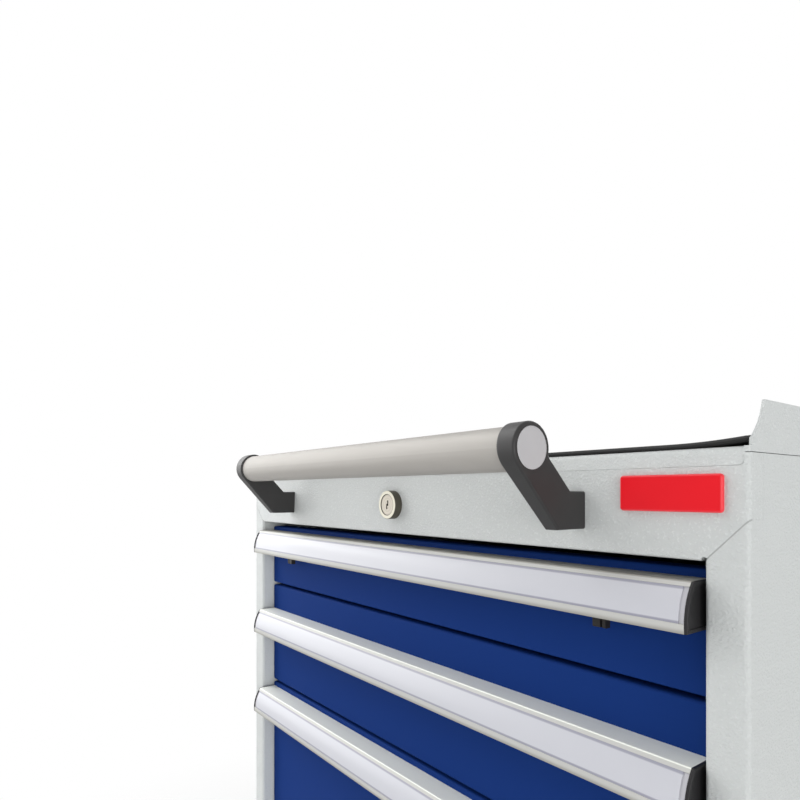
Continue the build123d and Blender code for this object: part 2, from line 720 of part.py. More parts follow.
def build_drawer(index):
    """All pieces of one drawer, counted from the top."""
    name = f"drawer_{index + 1}"
    front_top, front_bottom = front_tops[index], front_bottoms[index]
    tray_top, tray_bottom = tray_tops[index], tray_bottoms[index]
    section = outward(face_y, grip_tops[index])
    grip_x = grip_length / 2 - grip_cap_thickness

    # Front: a shallow pan, open to the rear
    with BuildPart() as front:
        with BuildSketch(fascia_plane.offset(-front_recess)):
            with Locations((0, front_top)):
                Rectangle(front_width, front_top - front_bottom, align=(Align.CENTER, Align.MAX))
        extrude(amount=-front_depth)
        fillet(front.edges().filter_by(Axis.Y), radius=front_round)
        fillet(front.faces().sort_by(Axis.Y)[0].edges(), radius=front_round)
        offset(amount=-sheet, openings=front.faces().sort_by(Axis.Y)[-1])
    save(front, f"{name}_front")

    # Tray: an open box with a lower rear wall for the lock hook
    with BuildPart() as tray:
        with BuildSketch(Plane.XY.offset(tray_bottom)):
            with Locations((0, tray_front_y)):
                Rectangle(2 * tray_x, tray_depth, align=(Align.CENTER, Align.MIN))
        extrude(amount=tray_top - tray_bottom)
        fillet(tray.faces().sort_by(Axis.Z)[0].edges().filter_by(Axis.Y), radius=tray_round)
        offset(amount=-tray_wall, openings=tray.faces().sort_by(Axis.Z)[-1])
        with BuildSketch(Plane.XY.offset(tray_top - tray_rear_notch)):
            with Locations((0, tray_back_y)):
                Rectangle(2 * (tray_x - tray_round), tray_round, align=(Align.CENTER, Align.MAX))
        extrude(amount=tray_rear_notch, mode=Mode.SUBTRACT)
    save(tray, f"{name}_tray")

    # Grip profile
    with BuildPart() as grip:
        extrude(grip_outline(section), amount=grip_x, both=True)
        extrude(finger_space(section), amount=grip_x, both=True, mode=Mode.SUBTRACT)
        recess = label_band(section, grip_radius - label_recess, grip_radius + overrun)
        extrude(recess, amount=grip_x, both=True, mode=Mode.SUBTRACT)
    save(grip, f"{name}_grip")

    # Label strip in the grip's recess
    with BuildPart() as label:
        label_floor = grip_radius - label_recess
        strip = label_band(section, label_floor, label_floor + label_thickness)
        extrude(strip, amount=grip_x - label_end_gap, both=True)
    save(label, f"{name}_label")

    # End caps of the grip, each with a shallow pocket inside its border
    with BuildPart() as grip_caps:
        extrude(grip_outline(section.offset(-grip_x)), amount=-grip_cap_thickness)
        fillet(grip_caps.faces().sort_by(Axis.X)[-1].edges(), radius=grip_cap_round)
        outer_plane = section.offset(-grip_x - grip_cap_thickness)
        extrude(grip_outline(outer_plane, grip_cap_border), amount=grip_cap_pocket, mode=Mode.SUBTRACT)
        mirror(about=Plane.YZ)
    save(grip_caps, f"{name}_grip_caps")

    # Clips under the grip: a body and a tongue on a common back plate, their toes clear of the front
    with BuildPart() as clips:
        clip_top = grip_tops[index] - grip_foot_height - running_gap
        clip_bottom = grip_tops[index] - grip_height - clip_reach
        clip_width = clip_body_width + clip_slot + clip_tongue_width
        clip_x = (clip_spacing - clip_width) / 2
        with BuildSketch(Plane.XY.offset(clip_bottom)):
            with Locations((clip_x, face_y)):
                Rectangle(clip_width, clip_depth, align=(Align.MIN, Align.MAX))
            with Locations((clip_x + clip_body_width, face_y - clip_back)):
                Rectangle(clip_slot, clip_depth, align=(Align.MIN, Align.MAX), mode=Mode.SUBTRACT)
        extrude(amount=clip_top - clip_bottom)
        with BuildSketch(Plane.XY.offset(clip_bottom)):
            with Locations((clip_x, face_y)):
                Rectangle(clip_width, clip_depth - clip_toe_depth, align=(Align.MIN, Align.MAX))
        extrude(amount=clip_toe_height, mode=Mode.SUBTRACT)
        toe_edges = clips.faces().sort_by(Axis.Y)[0:2].edges().filter_by(Axis.X)
        fillet(toe_edges.group_by(Axis.Z)[0], radius=clip_round)
        mirror(about=Plane.YZ)
    save(clips, f"{name}_clips")

    # Middle and drawer members of the telescopic runners
    middle_lip = tray_x + 2 * runner_lip_gap
    middle_height = runner_height - 2 * runner_step
    with BuildPart() as middle_runners:
        middle = channel(runner_zs[index], middle_lip, runner_x - runner_step, middle_height, True)
        extrude(middle, amount=runner_length)
        mirror(about=Plane.YZ)
    save(middle_runners, f"{name}_middle_runners")

    drawer_height = middle_height - 2 * runner_step
    with BuildPart() as runners:
        member = channel(runner_zs[index], tray_x, runner_x - 2 * runner_step, drawer_height, False)
        extrude(member, amount=runner_length)
        mirror(about=Plane.YZ)
    save(runners, f"{name}_runners")


for drawer_index in range(len(drawer_pitches)):
    build_drawer(drawer_index)

# Castor places: the wheel fills the height under the fork's crown
castor_x = half_width - castor_inset
swivel_y = front_y + swivel_setback
swivel_wheel_y = swivel_y - swivel_trail
fixed_wheel_y = back_y - fixed_setback
plate_z = base_z - castor_plate_thickness
race_z = plate_z - swivel_race_height
crown_top = race_z - running_gap
crown_z = crown_top - fork_crown_thickness
wheel_radius = (crown_z - wheel_crown_gap) / 2
fork_half = fork_gap / 2
pedal_pivot_reach = wheel_radius + pedal_pivot_gap
pedal_pivot_forward = pedal_pivot_reach * math.cos(math.radians(pedal_pivot_angle))
pedal_pivot_rise = pedal_pivot_reach * math.sin(math.radians(pedal_pivot_angle))
pedal_y = swivel_wheel_y - pedal_pivot_forward
pedal_z = wheel_radius + pedal_pivot_rise
side_names = {-1: "left", 1: "right"}


def build_wheel(x, y, name):
    """One wheel on its own axle line: hub, web and rounded tread."""
    with BuildPart() as wheel:
        with BuildSketch(Plane(origin=(x, y, wheel_radius), x_dir=(1, 0, 0), z_dir=(0, -1, 0))):
            with Locations((0, axle_diameter / 2 + shaft_fit)):
                bore_to_hub = (wheel_hub_diameter - axle_diameter) / 2 - shaft_fit
                bore_to_rim = wheel_radius - axle_diameter / 2 - shaft_fit - wheel_tread_depth
                Rectangle(wheel_hub_width, bore_to_hub, align=(Align.CENTER, Align.MIN))
                Rectangle(wheel_web, bore_to_rim, align=(Align.CENTER, Align.MIN))
            with Locations((0, wheel_radius)):
                tread = Rectangle(wheel_width, wheel_tread_depth, align=(Align.CENTER, Align.MAX))
            fillet(tread.vertices().group_by(Axis.Y)[-1], radius=wheel_tread_round)
        revolve(axis=Axis((x, y, wheel_radius), (1, 0, 0)))
    save(wheel, name)


def castor_plate(x, y):
    """The outline of a castor's mounting plate, under the base pan."""
    with BuildSketch(Plane.XY.offset(plate_z)) as plate:
        with Locations((x, y)):
            RectangleRounded(castor_plate_width, castor_plate_length, castor_plate_corner)
    return plate.sketch


def fork_crown(x, y, z):
    """The outline of the bridge that joins a fork's two cheeks."""
    with BuildSketch(Plane.XY.offset(z)) as crown:
        with Locations((x, y)):
            Rectangle(fork_gap + 2 * fork_wall, fork_crown_length)
    return crown.sketch


def cheek(x, crown_y, wheel_y, top_z, brake):
    """The outline of one fork cheek: from the crown down to the axle, and out to the pedal's pin."""
    eyes = [((wheel_y, wheel_radius), fork_eye_radius)]
    if brake:
        eyes.append(((pedal_y, pedal_z), pedal_eye_radius))
    with BuildSketch(Plane.YZ.offset(x)) as outline:
        for centre, radius in eyes:
            with BuildLine():
                Line((crown_y - fork_crown_length / 2, top_z), (crown_y + fork_crown_length / 2, top_z))
                CenterArc(centre, radius, 0, 360)
            make_hull()
        with Locations((wheel_y, wheel_radius)):
            Circle(axle_diameter / 2 + shaft_fit, mode=Mode.SUBTRACT)
    return outline.sketch


def axle(x, y):
    """The outlines of an axle's shaft and of its two heads, as (section, length) pairs."""
    outer = fork_half + fork_wall
    pairs = []
    for start, diameter, length in (
        (x - outer, axle_diameter, 2 * outer),
        (x - outer - axle_head_height, axle_head_diameter, axle_head_height),
        (x + outer, axle_head_diameter, axle_head_height),
    ):
        with BuildSketch(Plane.YZ.offset(start)) as section:
            with Locations((y, wheel_radius)):
                Circle(diameter / 2)
        pairs.append((section.sketch, length))
    return pairs


# Swivel heads: mounting plate and bearing race, bored for the kingpin
with BuildPart() as swivel_heads:
    for side in side_names:
        extrude(castor_plate(side * castor_x, swivel_y), amount=castor_plate_thickness)
    with BuildSketch(Plane.XY.offset(race_z)):
        with Locations((castor_x, swivel_y), (-castor_x, swivel_y)):
            Circle(swivel_race_diameter / 2)
    extrude(amount=swivel_race_height)
    fillet(swivel_heads.faces().group_by(Axis.Z)[0].edges(), radius=swivel_race_round)
    with BuildSketch(Plane.XY.offset(race_z)):
        with Locations((castor_x, swivel_y), (-castor_x, swivel_y)):
            Circle(kingpin_diameter / 2 + shaft_fit)
    extrude(amount=swivel_race_height, mode=Mode.SUBTRACT)
save(swivel_heads, "swivel_castor_heads")

for side, side_name in side_names.items():
    fork_x = side * castor_x

    # Swivel fork with its kingpin and the pedal's pin
    with BuildPart() as swivel_fork:
        extrude(fork_crown(fork_x, swivel_y, crown_z), amount=fork_crown_thickness)
        for start in (fork_x - fork_half - fork_wall, fork_x + fork_half):
            extrude(cheek(start, swivel_y, swivel_wheel_y, crown_z, True), amount=fork_wall)
        with BuildSketch(Plane.XY.offset(crown_top)):
            with Locations((fork_x, swivel_y)):
                Circle(kingpin_diameter / 2)
        extrude(amount=running_gap + kingpin_length)
        with BuildSketch(Plane.YZ.offset(fork_x - fork_half)):
            with Locations((pedal_y, pedal_z)):
                Circle(pedal_pin_diameter / 2)
        extrude(amount=fork_gap)
    save(swivel_fork, f"swivel_fork_{side_name}")

    with BuildPart() as swivel_axle:
        for section, length in axle(fork_x, swivel_wheel_y):
            extrude(section, amount=length)
    save(swivel_axle, f"swivel_axle_{side_name}")

    # Brake pedal: an eye on the pin, a foot tread in front and a shoe towards the tyre
    with BuildPart() as brake_pedal:
        pedal_half = fork_half - pedal_side_gap
        shoe_reach = pedal_shoe_length / pedal_pivot_reach
        shoe = (pedal_y + pedal_pivot_forward * shoe_reach, pedal_z - pedal_pivot_rise * shoe_reach)
        for far_point, far_radius in (
            ((pedal_y - pedal_length, pedal_z), pedal_toe_radius),
            (shoe, pedal_shoe_radius),
        ):
            with BuildSketch(Plane.YZ.offset(fork_x)):
                with BuildLine():
                    CenterArc((pedal_y, pedal_z), pedal_eye_radius, 0, 360)
                    CenterArc(far_point, far_radius, 0, 360)
                make_hull()
            extrude(amount=pedal_half, both=True)
        with BuildSketch(Plane.XY.offset(pedal_z - pedal_tread_thickness / 2)):
            with Locations((fork_x, pedal_y - pedal_length - pedal_toe_radius)):
                Rectangle(pedal_tread_width, pedal_tread_length, align=(Align.CENTER, Align.MIN))
        extrude(amount=pedal_tread_thickness)
        with BuildSketch(Plane.YZ.offset(fork_x)):
            with Locations((pedal_y, pedal_z)):
                Circle(pedal_pin_diameter / 2 + shaft_fit)
        extrude(amount=pedal_half, both=True, mode=Mode.SUBTRACT)
    save(brake_pedal, f"brake_pedal_{side_name}")

    build_wheel(fork_x, swivel_wheel_y, f"front_wheel_{side_name}")
    build_wheel(fork_x, fixed_wheel_y, f"rear_wheel_{side_name}")

# Fixed castor forks, welded to their plates, and their axles
with BuildPart() as fixed_forks:
    for side in side_names:
        fork_x = side * castor_x
        extrude(castor_plate(fork_x, fixed_wheel_y), amount=castor_plate_thickness)
        extrude(fork_crown(fork_x, fixed_wheel_y, plate_z), amount=-fork_crown_thickness)
        for start in (fork_x - fork_half - fork_wall, fork_x + fork_half):
            extrude(cheek(start, fixed_wheel_y, fixed_wheel_y, plate_z, False), amount=fork_wall)
save(fixed_forks, "fixed_castor_forks")

with BuildPart() as fixed_axles:
    for side in side_names:
        for section, length in axle(side * castor_x, fixed_wheel_y):
            extrude(section, amount=length)
save(fixed_axles, "fixed_axles")
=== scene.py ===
"""Looks of a mobile drawer cabinet: finishes, small pieces, studio light and camera."""
import json
import logging
import math
from collections.abc import Iterable, Sequence
from dataclasses import dataclass, replace
from enum import Enum

import bmesh
import bpy
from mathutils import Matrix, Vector


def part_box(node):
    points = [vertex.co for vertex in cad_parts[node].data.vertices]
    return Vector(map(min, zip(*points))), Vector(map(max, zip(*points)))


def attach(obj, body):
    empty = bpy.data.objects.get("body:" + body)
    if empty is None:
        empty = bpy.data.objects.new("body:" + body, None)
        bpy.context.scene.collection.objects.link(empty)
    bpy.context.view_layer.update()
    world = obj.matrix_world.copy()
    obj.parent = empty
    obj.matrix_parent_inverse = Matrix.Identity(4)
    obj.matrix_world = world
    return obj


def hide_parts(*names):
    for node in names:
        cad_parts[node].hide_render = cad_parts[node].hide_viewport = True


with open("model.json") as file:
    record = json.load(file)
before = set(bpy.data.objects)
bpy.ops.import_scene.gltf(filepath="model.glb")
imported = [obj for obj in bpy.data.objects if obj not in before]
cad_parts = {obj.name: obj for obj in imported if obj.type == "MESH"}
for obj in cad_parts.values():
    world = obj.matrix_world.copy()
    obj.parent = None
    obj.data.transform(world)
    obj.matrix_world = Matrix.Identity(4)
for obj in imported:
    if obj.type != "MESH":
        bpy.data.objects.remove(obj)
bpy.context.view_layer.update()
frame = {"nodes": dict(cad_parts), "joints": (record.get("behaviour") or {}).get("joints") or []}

log = logging.getLogger("cabinet")

MM = 0.001
SIDES = ("left", "right")
DRAWERS = (1, 2, 3, 4)
JOINT_PLACES = {joint["name"]: Vector(joint["pos_m"]) for joint in frame["joints"] if "pos_m" in joint}

MERGE_DISTANCE = 0.001 * MM
SHARP_ANGLE = math.radians(32)
WHITE = (1.0, 1.0, 1.0, 1.0)
# The point on the cabinet's front that the lamps before it face.
FRONT_TOP = (0.0, -0.25, 0.87)

Colour = tuple[float, float, float]
Corner = tuple[float, float, float]
Band = tuple[float, float]
Paint = Colour | bpy.types.NodeSocket
Points = Sequence[Sequence[float]]


class Value:
    """A node's output that takes part in Python arithmetic, one Math node for each operation."""

    def __init__(self, sheet: "Sheet", socket: bpy.types.NodeSocket) -> None:
        """Keep the sheet that draws the nodes and the socket that holds the number."""
        self.sheet = sheet
        self.socket = socket

    def math(self, operation: str, *others: "Value | float", swapped: bool = False) -> "Value":
        """Add one Math node.

        Args:
            operation: The Math node's operation.
            others: The operands after this one.
            swapped: True where this value is the second operand.

        Returns:
            The node's result.
        """
        operands = (*others, self) if swapped else (self, *others)
        node = self.sheet.add("ShaderNodeMath", {"operation": operation}, dict(enumerate(operands)))
        return Value(self.sheet, node.outputs[0])

    def __add__(self, other: "Value | float") -> "Value":
        """This value plus another."""
        return self.math("ADD", other)

    def __sub__(self, other: "Value | float") -> "Value":
        """This value less another."""
        return self.math("SUBTRACT", other)

    def __rsub__(self, other: float) -> "Value":
        """A number less this value."""
        return self.math("SUBTRACT", other, swapped=True)

    def __mul__(self, other: "Value | float") -> "Value":
        """This value times another."""
        return self.math("MULTIPLY", other)

    def __truediv__(self, other: "Value | float") -> "Value":
        """This value divided by another."""
        return self.math("DIVIDE", other)

    def __abs__(self) -> "Value":
        """This value without its sign."""
        return self.math("ABSOLUTE")

    def below(self, limit: float) -> "Value":
        """1 where this value is under a limit, else 0."""
        return self.math("LESS_THAN", limit)

    def eased(self, start: float, end: float) -> "Value":
        """A smooth step.

        Args:
            start: The value at which the step leaves 0.
            end: The value at which it reaches 1.

        Returns:
            The step.
        """
        sockets = {"Value": self, "From Min": start, "From Max": end}
        node = self.sheet.add("ShaderNodeMapRange", {"interpolation_type": "SMOOTHSTEP"}, sockets)
        return Value(self.sheet, node.outputs[0])


class Sheet:
    """A node tree under construction, for a material, the world or a pattern."""

    def __init__(self, tree: bpy.types.NodeTree) -> None:
        """Take over a tree and clear it."""
        self.tree = tree
        tree.nodes.clear()

    def add(self, kind: str, settings: dict | None = None, sockets: dict | None = None) -> bpy.types.Node:
        """Add one node of any type.

        Args:
            kind: The node's type.
            settings: Attributes that are set first.
            sockets: Values or links of its inputs, by name, identifier or number.

        Returns:
            The new node.
        """
        node = self.tree.nodes.new(kind)
        for key, value in (settings or {}).items():
            setattr(node, key, value)
        for key, value in (sockets or {}).items():
            socket = self.find(node.inputs, key)
            source = value.socket if isinstance(value, Value) else value
            if isinstance(source, bpy.types.NodeSocket):
                self.tree.links.new(source, socket)
            else:
                socket.default_value = source
        return node

    @staticmethod
    def find(sockets: Iterable[bpy.types.NodeSocket], key: str | int) -> bpy.types.NodeSocket:
        """Find a socket.

        Args:
            sockets: A node's inputs or outputs.
            key: The socket's number, identifier or name.

        Returns:
            The socket.
        """
        if isinstance(key, int):
            return sockets[key]
        return next((s for s in sockets if s.identifier == key), None) or sockets[key]

    def value(self, kind: str, output: str, settings: dict | None, sockets: dict) -> Value:
        """Add a node and take one of its outputs as a number."""
        return Value(self, self.find(self.add(kind, settings, sockets).outputs, output))

    def place(self, scale: Sequence[float] = (1.0, 1.0, 1.0)) -> bpy.types.NodeSocket:
        """Object coordinates, stretched by a scale along each axis."""
        coords = self.add("ShaderNodeTexCoord").outputs["Object"]
        return self.add("ShaderNodeMapping", None, {"Vector": coords, "Scale": scale}).outputs[0]

    def axes(self) -> tuple[Value, Value, Value]:
        """The object coordinates as three numbers."""
        split = self.add("ShaderNodeSeparateXYZ", None, {0: self.place()})
        return tuple(Value(self, socket) for socket in split.outputs)

    def noise(self, size: float, detail: float = 2.0, stretch: Sequence[float] = (1.0, 1.0, 1.0)) -> Value:
        """Cloudy noise from 0 to 1.

        Args:
            size: The width of one cloud, in metres.
            detail: How many finer layers it holds.
            stretch: The scale along each axis, under 1 for long streaks.

        Returns:
            The noise.
        """
        sockets = {"Vector": self.place(stretch), "Scale": 1 / size, "Detail": detail}
        return self.value("ShaderNodeTexNoise", "Fac", None, sockets)

    def cells(self, size: float, smoothness: float) -> Value:
        """Rounded cells, as the distance from each cell's middle.

        Args:
            size: The width of one cell, in metres.
            smoothness: How far neighbouring cells run together.

        Returns:
            The distance.
        """
        sockets = {"Vector": self.place(), "Scale": 1 / size, "Smoothness": smoothness}
        return self.value("ShaderNodeTexVoronoi", "Distance", {"feature": "SMOOTH_F1"}, sockets)

    def blend(self, factor: Value, first: Paint, second: Paint) -> bpy.types.NodeSocket:
        """A colour between two.

        Args:
            factor: 0 for the first colour, 1 for the second.
            first: The first colour.
            second: The second colour.

        Returns:
            The mixed colour.
        """
        pair = [(*paint, 1.0) if isinstance(paint, tuple) else paint for paint in (first, second)]
        sockets = {"Factor_Float": factor, "A_Color": pair[0], "B_Color": pair[1]}
        return self.find(self.add("ShaderNodeMix", {"data_type": "RGBA"}, sockets).outputs, "Result_Color")

    def varied(self, factor: Value, colour: Colour, share: float) -> bpy.types.NodeSocket:
        """A colour that runs from a share darker to a share lighter, by a factor from 0 to 1."""
        return self.blend(factor, shaded(colour, 1 - share), shaded(colour, 1 + share))

    def bump(self, height: Value, strength: float, depth: float) -> bpy.types.NodeSocket:
        """A bumped normal: strength from 0 to 1, depth of the relief in metres."""
        sockets = {"Height": height, "Strength": strength, "Distance": depth}
        return self.add("ShaderNodeBump", None, sockets).outputs[0]

    def shader(self, sockets: dict) -> None:
        """Finish a material with one surface shader and its sockets."""
        surface = self.add("ShaderNodeBsdfPrincipled", None, sockets).outputs[0]
        self.add("ShaderNodeOutputMaterial", None, {"Surface": surface})


def shaded(colour: Colour, share: float) -> Colour:
    """A colour made darker or lighter by a share."""
    return tuple(part * share for part in colour)


def span(low: Corner, high: Corner, axis: int) -> tuple[float, float]:
    """Half the length of a box along an axis, and the middle of that length."""
    return (high[axis] - low[axis]) / 2, (low[axis] + high[axis]) / 2


@dataclass(frozen=True)
class Finish:
    """What a surface is made of; each kind draws its own nodes."""

    name: str

    def material(self) -> bpy.types.Material:
        """The finish as a material, made on its first use.

        Returns:
            The material.
        """
        if self.name not in bpy.data.materials:
            made = bpy.data.materials.new(self.name)
            made.use_nodes = True
            self.draw(Sheet(made.node_tree))
        return bpy.data.materials[self.name]

    def draw(self, sheet: Sheet) -> None:
        """Draw the finish's nodes on its sheet."""
        raise NotImplementedError


@dataclass(frozen=True)
class Mitre:
    """The hairline of the mitred joint between the rail and a post."""

    corner: tuple[float, float]
    front: float
    half_width: float = 0.2 * MM
    edge: float = 0.5 * MM
    reach: float = 3 * MM

    def line(self, sheet: Sheet) -> Value:
        """The joint on the front faces.

        Args:
            sheet: The material's sheet.

        Returns:
            1 along the joint, else 0.
        """
        x, y, z = sheet.axes()
        away = abs(abs(x) - z - (self.corner[0] - self.corner[1])) * math.sqrt(0.5)
        return (1 - away.eased(self.half_width, self.edge)) * (y - self.front).below(self.reach)


@dataclass(frozen=True)
class PowderCoat(Finish):
    """Powder coat: a leathery relief of soft bumps, with painted highlights on the bump crests and sparse
    pale flecks painted as glints.
    """

    colour: Colour
    bump_size: float
    relief: float
    strength: float
    roughness: float = 0.5
    gloss: float = 0.3
    # How many pale flecks are painted as glints, and how strong the painted highlight on the bump crests is.
    glint_share: float = 0.4
    bump_highlight: float = 0.0
    mitre: Mitre | None = None
    fine_share: float = 0.25
    fine_height: float = 0.2
    fine_gloss: float = 0.16
    drift_size: float = 300 * MM
    drift_share: float = 0.03
    # Where the painted glints cluster, their size and colour, and which bump crests get painted highlight.
    glint_patch_size: float = 22 * MM
    glint_patch_band: Band = (0.5, 0.62)
    glint_size: float = 4.5 * MM
    glint_band: Band = (0.05, 0.1)
    glint_colour: Colour = (0.9, 0.9, 0.9)
    bump_highlight_band: Band = (0.56, 0.7)
    bump_highlight_share: float = 1.4
    seam_share: float = 0.68

    def draw(self, sheet: Sheet) -> None:
        """Draw bumps with painted highlights on their crests, a slow drift of the colour, painted glints in
        clusters and an uneven gloss.

        Args:
            sheet: The material's sheet.
        """
        peel = sheet.noise(self.bump_size)
        fine = sheet.noise(self.bump_size * self.fine_share)
        # Painted glints: pale flecks in clusters. Painted highlight: lighter bump crests.
        glint_patches = sheet.noise(self.glint_patch_size, 1.0).eased(*self.glint_patch_band)
        glints = 1 - sheet.cells(self.glint_size, 0.0).eased(*self.glint_band)
        bump_highlights = peel.eased(*self.bump_highlight_band) * self.bump_highlight
        coat = sheet.varied(sheet.noise(self.drift_size, 1.0), self.colour, self.drift_share)
        coat = sheet.blend(bump_highlights, coat, shaded(self.colour, self.bump_highlight_share))
        coat = sheet.blend(glints * glint_patches * self.glint_share, coat, self.glint_colour)
        if self.mitre:
            coat = sheet.blend(self.mitre.line(sheet), coat, shaded(self.colour, self.seam_share))
        sheet.shader({
            "Base Color": coat,
            "Roughness": fine * self.fine_gloss + (self.roughness - self.fine_gloss / 2),
            "Normal": sheet.bump(peel + fine * self.fine_height, self.strength, self.relief),
            "Specular IOR Level": self.gloss,
        })


@dataclass(frozen=True)
class Anodised(Finish):
    """Satin anodised aluminium with faint drawing lines along its length."""

    colour: Colour
    metal: float
    roughness: float
    gloss: float
    streak_width: float = 0.5 * MM
    streak_stretch: Corner = (0.02, 1.0, 1.0)
    streak_gloss: float = 0.14
    streak_strength: float = 0.12
    streak_depth: float = 0.03 * MM
    cloud_size: float = 12 * MM
    cloud_stretch: Corner = (0.4, 1.0, 1.0)
    cloud_gloss: float = 0.06
    cloud_share: float = 0.04

    def paint(self, sheet: Sheet, cloud: Value) -> Paint:
        """The colour, a little cloudy."""
        return sheet.varied(cloud, self.colour, self.cloud_share)

    def draw(self, sheet: Sheet) -> None:
        """Draw long streaks in the gloss and the relief.

        Args:
            sheet: The material's sheet.
        """
        streaks = sheet.noise(self.streak_width, stretch=self.streak_stretch)
        cloud = sheet.noise(self.cloud_size, stretch=self.cloud_stretch)
        least = self.roughness - (self.streak_gloss + self.cloud_gloss) / 2
        sheet.shader({
            "Base Color": self.paint(sheet, cloud),
            "Metallic": self.metal,
            "Roughness": streaks * self.streak_gloss + cloud * self.cloud_gloss + least,
            "Normal": sheet.bump(streaks, self.streak_strength, self.streak_depth),
            "Specular IOR Level": self.gloss,
        })


@dataclass(frozen=True)
class GripAluminium(Anodised):
    """The same on a grip profile, with painted light on its flat top and painted shade along its lower edge.
    """

    # The painted shade along the lower edge, then the lip's colour above it.
    dull: Colour = (0.36, 0.35, 0.32)
    lip: Colour = (0.56, 0.56, 0.535)
    recess: Colour = (0.58, 0.575, 0.61)
    bottom: float = 0.0
    top: float = 1.0
    # How far up from the lower edge the painted shade fades, and where the painted light on the flat top
    # starts.
    edge: float = 3.4 * MM
    top_light_band: Band = (-0.9 * MM, -0.4 * MM)
    recess_fade: float = 0.4 * MM
    end_fade: float = 0.5 * MM
    label_low: Corner = (0.0, 0.0, 0.0)
    label_high: Corner = (1.0, 1.0, 1.0)

    def paint(self, sheet: Sheet, cloud: Value) -> Paint:
        """The colour by the height in the profile, with painted shade along the lower edge and painted light
        on the flat top, and of the recess that shows beyond the label.

        Args:
            sheet: The material's sheet.
            cloud: Slow noise, not used here; it shows in this finish's gloss alone.

        Returns:
            The colour.
        """
        x, _, z = sheet.axes()
        # Painted shade along the lower edge.
        front = sheet.blend((z - self.bottom).eased(0.0, self.edge), self.dull, self.lip)
        half, middle = span(self.label_low, self.label_high, 2)
        level = 1 - abs(z - middle).eased(half - self.recess_fade, half)
        beyond = abs(x).eased(self.label_high[0] - self.end_fade, self.label_high[0])
        front = sheet.blend(level * beyond, front, self.recess)
        # Painted light on the flat top.
        return sheet.blend((z - self.top).eased(*self.top_light_band), front, self.colour)


@dataclass(frozen=True)
class LabelPaper(Finish):
    """A blank label strip under clear film, with painted shade along its long edges where the grooves hold
    it.
    """

    colour: Colour
    # The colour of the painted shade in the grooves.
    groove: Colour
    low: Corner
    high: Corner
    groove_width: float = 1.9 * MM
    fibre_size: float = 1.2 * MM
    fibre_gloss: float = 0.08
    wave_size: float = 60 * MM
    wave_strength: float = 0.2
    wave_depth: float = 0.3 * MM
    roughness: float = 0.3
    gloss: float = 0.5

    def draw(self, sheet: Sheet) -> None:
        """Draw paper fibres, slow waves and painted shade along the two long edges.

        Args:
            sheet: The material's sheet.
        """
        _, _, z = sheet.axes()
        half, middle = span(self.low, self.high, 2)
        # Painted shade along the long edges, in the grooves.
        groove_shade = 1 - (half - abs(z - middle)).eased(self.groove_width * 0.5, self.groove_width)
        fibre = sheet.noise(self.fibre_size, 3.0)
        waves = sheet.noise(self.wave_size, 1.0)
        sheet.shader({
            "Base Color": sheet.blend(groove_shade, self.colour, self.groove),
            "Roughness": fibre * self.fibre_gloss + self.roughness,
            "Normal": sheet.bump(waves, self.wave_strength, self.wave_depth),
            "Specular IOR Level": self.gloss,
        })


@dataclass(frozen=True)
class Moulded(Finish):
    """Moulded plastic or rubber with a fine grain."""

    colour: Colour
    grain_size: float = 0.5 * MM
    relief: float = 0.05 * MM
    roughness: float = 0.45
    blotch_share: float = 0.15
    gloss: float = 0.3
    blotch_size: float = 9 * MM
    blotch_gloss: float = 0.12
    grain_gloss: float = 0.1
    grain_strength: float = 0.4

    def draw(self, sheet: Sheet) -> None:
        """Draw the grain, and blotches that vary the colour and the gloss a little.

        Args:
            sheet: The material's sheet.
        """
        grain = sheet.noise(self.grain_size)
        blotch = sheet.noise(self.blotch_size, 3.0)
        least = self.roughness - self.grain_gloss
        sheet.shader({
            "Base Color": sheet.varied(blotch, self.colour, self.blotch_share),
            "Roughness": blotch * self.blotch_gloss + grain * self.grain_gloss + least,
            "Normal": sheet.bump(grain, self.grain_strength, self.relief),
            "Specular IOR Level": self.gloss,
        })


@dataclass(frozen=True)
class Plated(Finish):
    """Bright plated steel with a faint spangle."""

    colour: Colour
    spangle_size: float = 3 * MM
    spangle_light: float = 1.04
    spangle_dark: float = 0.88
    spangle_gloss: float = 0.06
    mark_width: float = 0.6 * MM
    mark_stretch: Corner = (1.0, 0.05, 1.0)
    mark_gloss: float = 0.14
    mark_strength: float = 0.15
    mark_depth: float = 0.02 * MM
    least_roughness: float = 0.2

    def draw(self, sheet: Sheet) -> None:
        """Draw spangle in the colour and rolling marks in the gloss.

        Args:
            sheet: The material's sheet.
        """
        spangle = sheet.cells(self.spangle_size, 0.2)
        marks = sheet.noise(self.mark_width, 3.0, self.mark_stretch)
        light, dark = shaded(self.colour, self.spangle_light), shaded(self.colour, self.spangle_dark)
        sheet.shader({
            "Base Color": sheet.blend(spangle, light, dark),
            "Metallic": 1.0,
            "Roughness": marks * self.mark_gloss + spangle * self.spangle_gloss + self.least_roughness,
            "Normal": sheet.bump(marks, self.mark_strength, self.mark_depth),
        })


